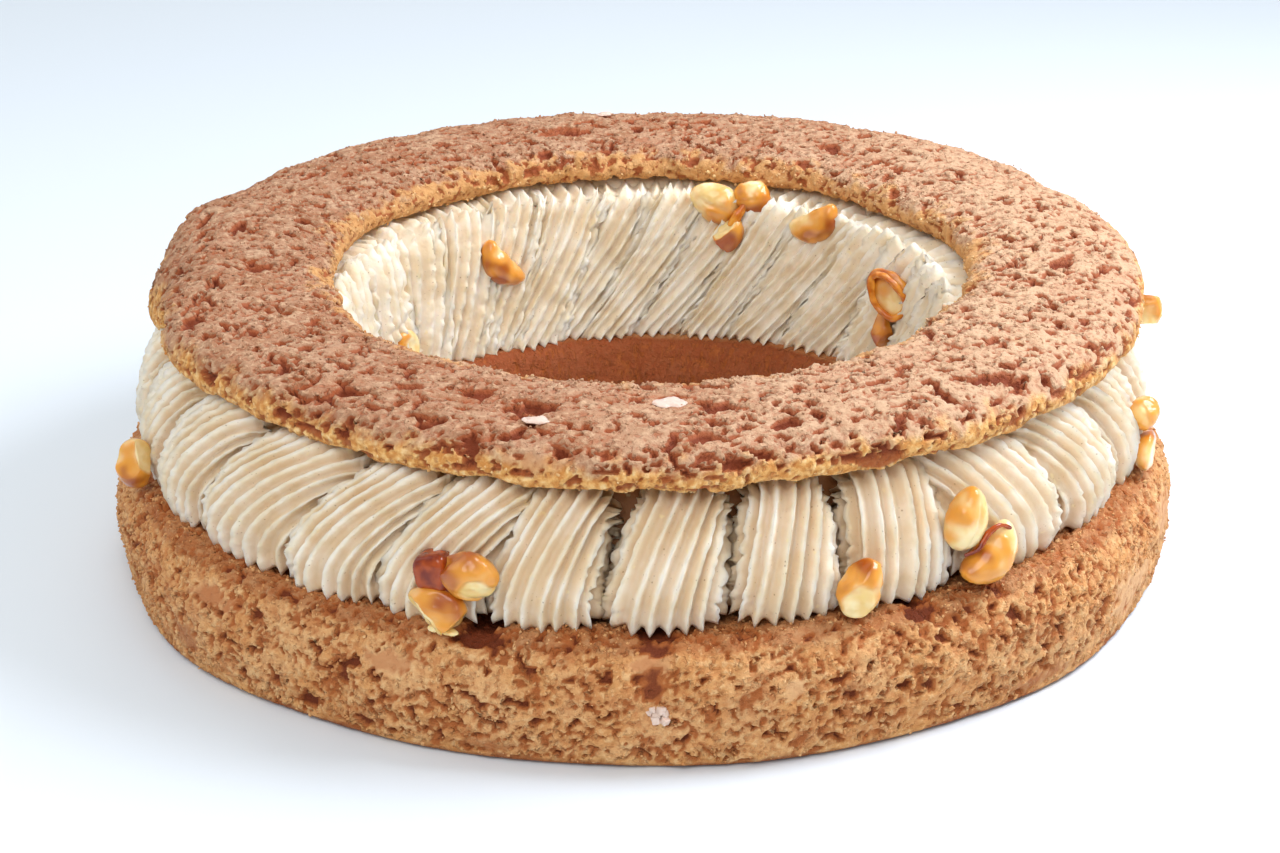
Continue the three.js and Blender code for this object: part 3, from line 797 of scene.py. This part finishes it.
# Lays one rope of cream over the base: its line, and at each step of the line how far it is swung
# round the ring, how many ridges it has turned, and how deep and wide it is.
def layRope(start, width, outerReach, innerReach, rng):
    heading = (start + width / 2) % 360
    middle = math.radians(start + width / 2)
    sweep = math.radians(aroundRing(cream["sweep"], heading))
    turns = aroundRing(cream["sweep"], heading, 2) * (1 + 0.12 * rng.normal())
    innerTwist = cream["innerTwist"] * (1 + 0.15 * rng.normal())
    lean = math.radians(aroundRing(cream["innerLean"], heading) + rng.normal())
    inner, over, outer = creamPath(middle, outerReach, innerReach)
    path = np.vstack([inner, over, outer])
    steps = np.diff(path, axis=0)
    run = np.concatenate([[0], np.cumsum(np.linalg.norm(steps, axis=1))])
    along = np.gradient(path, axis=0)
    along /= np.linalg.norm(along, axis=1)[:, None]
    out = np.stack([-along[:, 1], along[:, 0]], axis=1) # away from the rope's own body
    side = np.concatenate([np.zeros(len(inner)), np.linspace(0, 1, len(over)), np.ones(len(outer))])
    # how far up each leg a step is
    upIn = (inner[:, 1] - inner[0, 1]) / (inner[-1, 1] - inner[0, 1])
    upOut = (outer[:, 1] - outer[-1, 1]) / (outer[0, 1] - outer[-1, 1])
    twist = np.concatenate([turns + innerTwist * (1 - upIn) ** 1.2, np.full(len(over), turns),
                            turns * upOut**1.7])
    swing = np.concatenate([lean * (1 - upIn) ** 1.1, np.linspace(0, sweep, len(over)), sweep * upOut**2.2])
    halfDepth = between(cream["halfDepth"], side)
    bodyRadius = path[:, 0] - out[:, 0] * halfDepth * 0.55
    fullness = between((cream["innerFullness"], aroundRing(cream["fullness"], heading)), side)
    spread, waist = cream["innerSpread"], aroundRing(cream["fullness"], heading, 2)
    wider = np.concatenate([spread * upIn**3, np.linspace(spread, -waist, len(over)), -waist * upOut**1.5])
    return SimpleNamespace(
        path=path, out=out, side=side, run=run, endRun=np.minimum(run, run[-1] - run),
        angle=middle + swing, twist=twist, halfDepth=halfDepth,
        halfWidth=fullness * math.radians(width / 2) * bodyRadius * (1 + wider),
        nearTop=np.concatenate([smoothStep(0.62, 0.9, upIn), np.ones(len(over) + len(outer))]))


# Draws what makes each ridge its own: depth, place, tears along its crest, foot and tip.
def drawRidges(run, rng):
    ridges, perRidge = cream["ridges"], cream["pointsPerRidge"]
    count = ridges * perRidge
    groove = np.sin(np.pi * (np.arange(count) % perRidge / perRidge)) ** 1.05
    depths, places, _ = rng.uniform(-1, 1, (3, ridges))
    jog = np.interp(np.arange(count) / perRidge, np.arange(ridges + 1), np.append(places, places[0])) * 0.16
    knots = np.arange(0, run[-1] + 2, 1.0)
    tears = []
    for _ in range(ridges):
        waver = rng.uniform(-1, 1, len(knots))
        bites = rng.random(len(knots)) < cream["tearShare"]
        tears.append(np.interp(run, knots, waver - cream["tearDepth"] * bites))
    footing = rng.uniform(0.4, 1.4, ridges)
    tips = rng.uniform(0.1, 1, ridges)
    return SimpleNamespace(
        count=count, groove=groove, uneven=np.repeat(1 + 0.2 * depths, perRidge), jog=jog,
        tears=np.repeat(tears, perRidge, axis=0).T * (1 - groove) ** 1.5,
        footing=np.repeat(footing, perRidge),
        tips=np.repeat(tips, perRidge) * (1 - 0.6 * groove) * cream["tip"])


# The ridged outline of a rope at one step of its line, and how far each point lies to the rope's
# side. It starts as a boxy oval, and the ridges are spaced along it by its own length.
def ropeOutline(rope, ridges, i):
    side = rope.side[i]
    theta = np.linspace(0, 2 * np.pi, 721)
    boxy = 2 / between(cream["boxiness"], side)
    x = np.sign(np.cos(theta)) * np.abs(np.cos(theta)) ** boxy * rope.halfDepth[i]
    y = np.sign(np.sin(theta)) * np.abs(np.sin(theta)) ** boxy * rope.halfWidth[i]
    lengths = np.concatenate([[0], np.cumsum(np.hypot(np.diff(x), np.diff(y)))])
    ridge = np.arange(ridges.count) / cream["pointsPerRidge"] + ridges.jog + rope.twist[i]
    share = ridge / cream["ridges"]
    share += cream["innerPitch"] * (1 - side) * np.sin(4 * np.pi * share) / (4 * np.pi)
    at = (share % 1) * lengths[-1]
    px, py = np.interp(at, lengths, x), np.interp(at, lengths, y)
    normX = np.interp(at, lengths, np.gradient(y, lengths))
    normY = -np.interp(at, lengths, np.gradient(x, lengths))
    length = np.hypot(normX, normY) + 1e-9
    sideways = np.abs(py) / rope.halfWidth[i]
    footed = 1 - smoothStep(0, cream["footLength"], rope.endRun[i])
    inset = between(cream["ridgeDepth"], side) * ridges.uneven * (1 - 0.25 * footed) * ridges.groove
    inset -= ridges.tears[i] * (between(cream["torn"], side) + cream["tornSides"] * sideways**4)
    px, py = px - normX / length * inset, py - normY / length * inset
    across = px - rope.halfDepth[i]
    radial = rope.path[i, 0] + rope.out[i, 0] * across
    foot = (cream["tooth"] * ridges.groove * ridges.footing - cream["sunk"]) * footed
    height = rope.path[i, 1] + rope.out[i, 1] * across * (1 - 0.5 * footed) + foot
    height += rope.nearTop[i] * ridges.tips * smoothStep(*cream["tipEdge"], radial)
    c, s = math.cos(rope.angle[i]), math.sin(rope.angle[i])
    return np.stack([radial * c - py * s, radial * s + py * c, height], axis=1), sideways


# Two smaller outlines and a middle point that close an end of a rope.
def closeEnd(outline):
    middle = outline.mean(axis=0)
    dome = np.array([0, 0, cream["endDome"]])
    return [middle + (outline - middle) * size + dome * (1 - size) for size in (0.8, 0.4)], middle + dome


def makeLobe(index, start, width, outerReach, innerReach):
    rng = np.random.default_rng(500 + index)
    rope = layRope(start, width, outerReach, innerReach, rng)
    ridges = drawRidges(rope.run, rng)
    outlines, sideways = zip(*[ropeOutline(rope, ridges, i) for i in range(len(rope.path))])
    (firstRings, firstMiddle), (lastRings, lastMiddle) = closeEnd(outlines[0]), closeEnd(outlines[-1])
    rings = [*firstRings[::-1], *outlines, *lastRings]
    count, rows = ridges.count, len(rings)
    faces = [(r * count + c, (r + 1) * count + c, (r + 1) * count + (c + 1) % count,
              r * count + (c + 1) % count) for r in range(rows - 1) for c in range(count)]
    faces += [(rows * count, c, (c + 1) % count) for c in range(count)]
    lastRow = (rows - 1) * count
    faces += [(rows * count + 1, lastRow + (c + 1) % count, lastRow + c) for c in range(count)]
    points = np.vstack([*rings, firstMiddle, lastMiddle]) * mm
    piece = meshPiece(f"creamLobe{index + 1:02d}", points.tolist(), faces)
    takeUp(piece)
    bpy.ops.object.mode_set(mode="EDIT")
    bpy.ops.mesh.select_all(action="SELECT")
    bpy.ops.mesh.normals_make_consistent(inside=False)
    bpy.ops.object.mode_set(mode="OBJECT")
    bpy.ops.object.shade_smooth()
    # painted shade: the grooves are painted darker than the crests, and the sides of a rope darker where
    # they lie in the shade of the next
    closed = np.zeros(2 * count)
    sideways = np.concatenate([closed, *sideways, closed])
    outward = np.concatenate([[0, 0], rope.side, [1, 1]])
    crest = (1 - between((0.4, 1), outward)[:, None] * ridges.groove).ravel()
    crest *= 1 - 0.7 * sideways**8 * np.repeat(outward, count)
    saveAttribute(piece, "crest", np.append(crest, [0, 0]))
    saveGroup(piece, "soft", np.append(0.5 + 0.5 * sideways**3, [0, 0]))
    roughen(piece, 1.9, 0.75, "soft", noise_depth=1)
    roughen(piece, 7, 0.9, "soft")
    giveFinish(piece, creamFinish, "cream", "cream_ring")


reachDraws = seededDraws(23)
start = cream["firstStart"]
for index, width in enumerate(cream["widths"]):
    outerReach = cream["unevenness"] * (2 * next(reachDraws) - 1)
    innerReach = cream["unevenness"] * (2 * next(reachDraws) - 1)
    makeLobe(index, start, width, outerReach, innerReach)
    start += width
print("lobes done:", len(cream["widths"]))


# the inside of the ring, seen only between the ropes: radius, and height as a share of the room
core = {
    "outline": [(79, 0.03), (77, 0.3), (77, 0.7), (79, 0.95), (82, 0.99), (90, 0.99), (94, 0.93),
                (97.4, 0.7), (99.4, 0.35), (98.6, 0.03), (94, 0.01), (82, 0.01)],
    "room": 30, "columns": 360, "step": 1.3,
}


def makeCore():
    controls = [(radius, core["room"] * share) for radius, share in core["outline"]]
    piece = spinRing("creamCore", smoothLine(controls, core["step"], closed=True)[:-1], core["columns"])
    points = readPoints(piece)
    radius = polarOf(points)[0]
    low = seatHeight(radius) + cream["gap"]
    high = lidUnderside(points[:, 0] / mm, points[:, 1] / mm) - cream["gap"]
    height = low + (points[:, 2] / mm / core["room"]) * (high - low)
    points[:, 2] = height * mm
    writePoints(piece, points)
    fromMiddle = np.abs(2 * (height - low) / (high - low) - 1)
    saveGroup(piece, "soft", smoothStep(0.05, 0.2, 1 - fromMiddle))
    roughen(piece, 4, 3, "soft", noise_depth=2)
    # painted shade: the outer side of the core, seen between the ropes, is painted dark brown
    saveAttribute(piece, "crest", smoothStep(91, 85, radius))
    giveFinish(piece, coreFinish, "cream", "cream_ring")


makeCore()
print("cream done")


# Kind, place (angle, radius, height, and how far it is turned to one side), size (length, width,
# depth), tilt, then the glaze: how much of the kernel it covers and the side it runs from (out,
# along, across).
nuts = [
    ("broken", (199.5, 115, 31.2), (11.5, 8, 8.4), 80, 0.72, (0.2, -0.6, 0)),
    ("cut", (253.2, 113.6, 36.4), (11.4, 9.4, 7.2), -12, 0.78, (0, -0.7, 0.6)),
    ("slab", (249.9, 114.4, 28.9), (12.4, 9.8, 7.6), -16, 0.72, (0.4, 0.3, 0.5)),
    ("block", (249.5, 112.6, 36.2), (6.8, 7.4, 6.2), 8, 1.0, (1, 0, 0)),
    ("wedge", (291.1, 113.4, 31.2), (12.2, 9.2, 7), 68, 0.62, (0, 1, 0.2)),
    ("whole", (303.4, 112.6, 40), (13, 8.8, 8), 72, 0.28, (-0.1, 0.35, 0.9)),
    ("kidney", (306, 114.2, 31.8), (14.6, 8.6, 8.2), 218, 0.6, (0, 0.8, -0.3)),
    ("cut", (341, 113.4, 38.6), (8.8, 7.2, 6.4), -30, 0.85, (0, 1, 0)),
    ("half", (341.5, 114.6, 29.6), (10.6, 7.4, 7), 20, 0.7, (0, 1, 0.4)),
    ("broken", (358.6, 113.4, 50), (9.4, 7.6, 7.2), 50, 0.6, (0.4, 1, 0)),
    ("whole", (33, 113.4, 33), (12.4, 9.2, 8), 25, 0.5, (0, 0, 1)),
    ("broken", (77, 113.8, 30.4), (11, 8, 7), -35, 0.65, (0.5, 0.5, 0)),
    ("half", (82.6, 112.8, 40.4), (11.8, 8.6, 6.6), 55, 0.5, (0, 1, 0)),
    ("kidney", (131, 113.6, 37), (13.6, 8.2, 7.4), -40, 0.7, (0, -1, 0.5)),
    ("half", (148.6, 65.2, 30.4), (9.6, 7.4, 6.2), 60, 0.5, (0, 0.2, 1)),
    ("kidney", (121.6, 65, 43.6), (15, 7, 6.8), 50, 0.86, (0.2, -0.2, 1)),
    ("whole", (74, 68.4, 56), (13.2, 10, 8), 22, 0.5, (0, -0.8, 0.6)),
    ("whole", (66.6, 70.2, 57.4), (9.6, 8.4, 7), -8, 0.85, (0, 0, 0.6)),
    ("slab", (70.4, 66.2, 48.6), (9.8, 7.4, 6.4), -70, 0.95, (0.4, 0.6, 0)),
    ("kidney", (50.4, 67.2, 54.2), (15, 7.8, 7), -28, 0.74, (0, -0.3, 0.5)),
    ("half", (22.6, 63.8, 44.6, 38), (14.4, 10, 7.2), 48, 0.85, (0, 1, 0)),
    ("broken", (27.2, 65.2, 34), (8.8, 6.4, 5.8), 75, 0.85, (0.3, 0, 0)),
    ("half", (322, 64.8, 40), (11.6, 8.4, 6.8), -30, 0.6, (0, 1, 0)),
    ("broken", (245, 65.2, 36), (10.8, 7.8, 6.6), 35, 0.65, (0, 1, 0)),
]
# the flat faces of a broken kernel: which way each looks (out, along, across), how far out it lies,
# and how bare of glaze it is
facets = {
    "cut": [((0.75, 0.5, -0.45), 0.72, 0.45), ((0.3, -0.8, 0.5), 0.82, 0)],
    "slab": [((0.5, -0.55, -0.65), 0.5, 0.9), ((1, 0.15, 0.3), 0.66, 0), ((0.1, 0.9, -0.35), 0.72, 0.5)],
    "wedge": [((0.85, -0.45, 0.25), 0.7, 0.5), ((0.2, 0.5, 0.85), 0.68, 0), ((0.15, 0.35, -0.9), 0.72, 0)],
}


# From a piece's own frame (out, along the ring, up) to its place on the ring.
def placeOnRing(angle, radius, height, yaw=0):
    return (Matrix.Rotation(math.radians(angle), 4, "Z") @ Matrix.Translation((radius * mm, 0, height * mm))
            @ Matrix.Rotation(math.radians(yaw), 4, "Z"))


# Shapes a round kernel of radius 1 to its kind. The second result is how much glaze its breaks shed.
def shapeKernel(kind, points, rng):
    cut = np.zeros(len(points))
    if kind == "whole":
        points[:, 2] *= 1 - 0.2 * points[:, 1]
        crease = np.exp(-(points[:, 2] / 0.12) ** 2) * (1 - points[:, 1] ** 2)
        points[:, 0] -= 0.1 * crease * (points[:, 0] > 0)
    if kind == "half":
        front = points[:, 0] > 0
        fromMiddle = np.hypot(points[:, 1], points[:, 2])
        points[front, 0] *= 0.4
        points[:, 0] -= np.where(front, 0.16 * smoothStep(0.75, 0.2, fromMiddle), 0)
        cut += np.where(front, 0.45 * smoothStep(0.7, 0.45, fromMiddle), 0)
    if kind == "broken":
        for _ in range(5):
            facing = rng.normal(size=3)
            facing /= np.linalg.norm(facing)
            over = points @ facing - rng.uniform(0.5, 0.78)
            points -= np.clip(over, 0, None)[:, None] * facing * 0.92
            cut += smoothStep(-0.05, 0.15, over) * rng.choice([0, 0, 0.5])
    if kind == "block":
        points = np.sign(points) * np.abs(points) ** 0.5
    return points, cut


# Breaks the flat faces off a kernel, each with a worn rim.
def breakFaces(kind, points, cut, index):
    uneven = np.array([noise.noise(Vector(spot) * 2.2 + Vector((index * 3.1, 0, 5))) for spot in points])
    for facing, reach, bare in facets.get(kind, []):
        facing = np.array(facing) / np.linalg.norm(facing)
        over = points @ facing - reach - 0.12 * uneven
        worn = np.where(over > 0.1, over, np.clip(over + 0.1, 0, None) ** 2 / 0.4)
        points = points - worn[:, None] * facing * 0.85
        cut = cut + smoothStep(-0.02, 0.2, over + 0.1 * uneven) * bare
    return points, cut


def makeNut(index, kind, at, size, turn, glazed, glazeFrom):
    rng = np.random.default_rng(700 + index)
    deselectAll()
    bpy.ops.mesh.primitive_ico_sphere_add(subdivisions=5, radius=1)
    piece = bpy.context.object
    piece.name = piece.data.name = f"nut{index + 1:02d}"
    points, cut = shapeKernel(kind, readPoints(piece), rng)
    points, cut = breakFaces(kind, points, cut, index)
    if kind == "kidney":
        points[:, 2] += 0.6 * (0.35 - points[:, 1] ** 2)
    length, width, depth = size
    points *= np.array([depth, length, width]) / 2
    # the glaze is thickest on the side it ran from, and torn at its border
    outward = points / np.linalg.norm(points, axis=1)[:, None]
    toward = np.array(glazeFrom, float) / max(1e-6, np.linalg.norm(glazeFrom))
    ragged = np.array([noise.noise(Vector(spot) * 0.33 + Vector((index * 7.3, 0, 0))) for spot in points])
    glaze = np.clip(glazed + 0.38 * (outward @ toward) + 0.5 * ragged - cut, 0, 1.5)
    points += outward * (0.35 * smoothStep(0.4, 0.7, glaze) - 0.2)[:, None]
    writePoints(piece, points * mm)
    bpy.ops.object.shade_smooth()
    saveAttribute(piece, "glaze", glaze)
    inside = at[1] < 90 # a kernel on the inner wall faces the hole
    piece.data.transform(placeOnRing(*at) @ Matrix.Rotation(math.radians(turn), 4, "X")
                         @ Matrix.Rotation(math.pi if inside else 0, 4, "Y"))
    roughen(piece, 3, 0.55)
    giveFinish(piece, darkCaramel if kind == "block" else nutFinish, "nut", f"nut_{index + 1:02d}")


for index, nut in enumerate(nuts):
    makeNut(index, *nut)
print("nuts done:", len(nuts))


extras = {
    # sugar grains that baked on the lower crust in one lump: angle, height, size of a grain
    "sugarLump": {"angle": 270.9, "inset": 0.9, "height": 12, "count": 14, "spread": 1.6,
                  "grain": (0.8, 1.5), "bevel": 0.18},
    # flat sugar flakes on the lid: angle and radius about its middle, half sizes
    "flakes": [(272.4, 88.7, 3.3, 2.6), (257.2, 99.1, 2.8, 1.7), (96, 101, 1.8, 1.3)],
    "flake": {"halfThickness": 0.45, "turn": 84, "uneven": 1.2},
    # almond slivers on the ledge: angle, radius, half sizes
    "slivers": [(251.3, 115.4, 2.0, 1.1), (249.6, 114.8, 1.3, 0.9), (100, 115, 1.8, 1.0)],
    "sliver": {"halfThickness": 0.7, "turn": 75, "raised": 0.4, "uneven": 0.4},
    # a pool of caramel between the three kernels at the front
    "pool": {"angle": 250.2, "place": (112.4, 1, 33.5), "tilt": 30, "halves": (2.4, 4, 3), "uneven": 1.2},
    # a thread between the two kernels on the right, and two on the kernels inside
    "threads": [
        {"at": (305.6, 114.8, 33.4), "thick": 0.6, "finish": darkCaramel, "closed": False,
         "line": [(-0.4, -6.4, 0.2), (0.8, -4, 1.2), (0.6, -1.2, 3.8), (0.8, 1.6, 4.8), (0.8, 4.2, 3.4),
                  (0, 6, 1.2)]},
        {"at": (22.6, 63.8, 44.6, 38), "thick": 0.8, "finish": amberCaramel, "closed": True,
         "line": [(-1.6, -4.6, -1.4), (-2.2, -3, 2.6), (-2.2, 1, 5.6), (-1.8, 4.2, 4.2), (-2, 3, -1.6),
                  (-1.8, -1.4, -4.8)]},
        {"at": (68.4, 67, 52), "thick": 1.5, "finish": amberCaramel, "closed": False,
         "line": [(0.4, -1.6, 4), (-0.8, 0.2, 1), (-0.4, 1.4, -2), (1, 1.2, -4.6)]},
    ],
}


# A thread of caramel along a smooth line, thickest in its middle unless it is a closed loop.
def makeThread(name, thread):
    deselectAll()
    curve = bpy.data.curves.new(name, "CURVE")
    curve.dimensions = "3D"
    curve.bevel_depth = thread["thick"] * mm
    curve.bevel_resolution = 4
    curve.use_fill_caps = True
    spots = smoothLine(thread["line"], 0.5, thread["closed"])
    spline = curve.splines.new("POLY")
    spline.points.add(len(spots) - 1)
    for k, (spot, point) in enumerate(zip(spots, spline.points)):
        point.co = (*(spot * mm), 1)
        point.radius = 1 if thread["closed"] else 0.45 + 0.55 * math.sin(math.pi * (k + 0.5) / len(spots))
    spline.use_cyclic_u = thread["closed"]
    piece = bpy.data.objects.new(name, curve)
    bpy.context.scene.collection.objects.link(piece)
    takeUp(piece)
    bpy.ops.object.convert(target="MESH")
    piece.data.transform(placeOnRing(*thread["at"]))
    roughen(piece, 2.4, 0.7)
    bpy.ops.object.shade_smooth()
    giveFinish(piece, thread["finish"], "nut")


# A flattened blob, laid where it is told and given an uneven surface.
def makeBlob(name, place, halves, uneven, material, slot):
    deselectAll()
    bpy.ops.mesh.primitive_ico_sphere_add(subdivisions=4, radius=1)
    piece = bpy.context.object
    piece.name = piece.data.name = name
    piece.data.transform(place @ Matrix.Diagonal((*(half * mm for half in halves), 1)))
    roughen(piece, 1.6, uneven)
    bpy.ops.object.shade_smooth()
    giveFinish(piece, material, slot)


def lidTop(angle, radius):
    points = readPoints(lidPiece)
    turn = math.radians(angle)
    x, y = lid["centre"][0] + radius * math.cos(turn), lid["centre"][1] + radius * math.sin(turn)
    near = np.hypot(points[:, 0] / mm - x, points[:, 1] / mm - y) < 1.5
    return Vector((x * mm, y * mm, np.percentile(points[near, 2], 90)))


def makeSugarLump():
    lump = extras["sugarLump"]
    rng = np.random.default_rng(91)
    deselectAll()
    bpy.ops.mesh.primitive_cube_add(size=lump["grain"][1] * mm, rotation=(0.4, 0.7, 0.2))
    bpy.ops.object.transform_apply(location=True, rotation=True, scale=True)
    piece = bpy.context.object
    piece.name = piece.data.name = "sugarLump"
    bpy.ops.object.mode_set(mode="EDIT")
    for _ in range(lump["count"] - 1):
        x, y, z = rng.normal(size=3) * lump["spread"] * mm * 0.6
        size = rng.uniform(*lump["grain"]) * mm
        bpy.ops.mesh.primitive_cube_add(size=size, location=(x * 0.4, y, z),
                                        rotation=tuple(rng.uniform(0, 3, 3)))
    bpy.ops.mesh.select_all(action="SELECT")
    bpy.ops.mesh.bevel(offset=lump["bevel"] * mm, segments=2)
    bpy.ops.object.mode_set(mode="OBJECT")
    piece.data.transform(placeOnRing(lump["angle"], base["radius"] - lump["inset"], lump["height"]))
    bpy.ops.object.shade_flat()
    giveFinish(piece, sugarFinish, "base_crust")


makeSugarLump()
flake, sliver, pool = extras["flake"], extras["sliver"], extras["pool"]
for k, (angle, radius, halfAlong, halfAcross) in enumerate(extras["flakes"]):
    turned = Matrix.Rotation(math.radians(angle + flake["turn"]), 4, "Z")
    makeBlob(f"sugarFlake{k + 1}", Matrix.Translation(lidTop(angle, radius)) @ turned,
             (halfAlong, halfAcross, flake["halfThickness"]), flake["uneven"], sugarFinish, "lid_crust")
for k, (angle, radius, halfAlong, halfAcross) in enumerate(extras["slivers"]):
    place = placeOnRing(angle, radius, seatHeight(radius) + sliver["raised"], sliver["turn"])
    makeBlob(f"almondSliver{k + 1}", place, (halfAlong, halfAcross, sliver["halfThickness"]),
             sliver["uneven"], nutFinish, "nut")
place = placeOnRing(pool["angle"], 0, 0) @ Matrix.Translation(Vector(pool["place"]) * mm)
makeBlob("caramelPool", place @ Matrix.Rotation(math.radians(pool["tilt"]), 4, "X"),
         pool["halves"], pool["uneven"], darkCaramel, "nut")
for k, thread in enumerate(extras["threads"]):
    makeThread(f"caramelThread{k + 1}", thread)
print("extras done")


stage = {
    "cameraPlace": (-0.000464, -0.53201, 0.23632), "cameraTarget": (-0.000464, 0, 0.022365),
    "cameraRoll": -0.0148531, "lens": 70.3, "world": 0.54, "worldColour": "#F7FAFF",
    "floorColour": "#E5EEF5",
    # place and target in metres, size in metres, power in watts
    "lamps": [
        ("keyLamp", (0.38, 0.02, 0.42), (0.05, 0, 0.04), 0.34, 3.3, "#F2F6FF"),
        ("backLamp", (-0.1, 1.0, 1.1), (0, 0.25, 0), 1.0, 3.7, "#FFFFFF"),
        ("frontLamp", (-0.18, -0.95, 0.95), (0, 0, 0.03), 0.9, 7.2, "#FFFDFA"),
        ("fillLamp", (-0.6, 0.0, 0.5), (0, 0, 0.04), 0.6, 0.7, "#FFFDFA"),
    ],
}


def setStage():
    # a board with matt white paint, which takes on the cool cast of the room
    floorMaterial = finishMaterial(startMaterial("paintedBoard")[0], {
        "Base Color": stage["floorColour"], "Roughness": 0.7, "Specular IOR Level": 0.2})
    deselectAll()
    bpy.ops.mesh.primitive_plane_add(size=8, location=(0, 0, -0.0002))
    floor = bpy.context.object
    floor.name = "floor"
    floor.data.materials.append(floorMaterial)
    for name, place, target, size, power, colour in stage["lamps"]:
        bpy.ops.object.light_add(type="AREA", location=place)
        lamp = bpy.context.object
        lamp.name = name
        lamp.data.shape = "DISK"
        lamp.data.size = size
        lamp.data.energy = power
        lamp.data.color = hexToLinear(colour)[:3]
        lamp.rotation_euler = (Vector(target) - Vector(place)).to_track_quat("-Z", "Y").to_euler()
    world = bpy.data.worlds.new("softDaylight")
    world.use_nodes = True
    world.node_tree.nodes["Background"].inputs["Color"].default_value = hexToLinear(stage["worldColour"])
    world.node_tree.nodes["Background"].inputs["Strength"].default_value = stage["world"]
    bpy.context.scene.world = world
    bpy.context.scene.view_settings.view_transform = "Standard"


def setCamera():
    place, target = Vector(stage["cameraPlace"]), Vector(stage["cameraTarget"])
    forward = (target - place).normalized()
    right = forward.cross(Vector((0, 0, 1))).normalized()
    up = right.cross(forward)
    c, s = math.cos(stage["cameraRoll"]), math.sin(stage["cameraRoll"])
    across, above = right * c + up * s, up * c - right * s
    cameraData = bpy.data.cameras.new("camera")
    cameraData.lens = stage["lens"]
    cameraData.sensor_width = 36
    cameraData.sensor_fit = "HORIZONTAL"
    camera = bpy.data.objects.new("camera", cameraData)
    bpy.context.scene.collection.objects.link(camera)
    camera.matrix_world = Matrix((
        (across.x, above.x, -forward.x, place.x), (across.y, above.y, -forward.y, place.y),
        (across.z, above.z, -forward.z, place.z), (0, 0, 0, 1)))
    bpy.context.scene.camera = camera


setStage()
setCamera()

print("stage done")
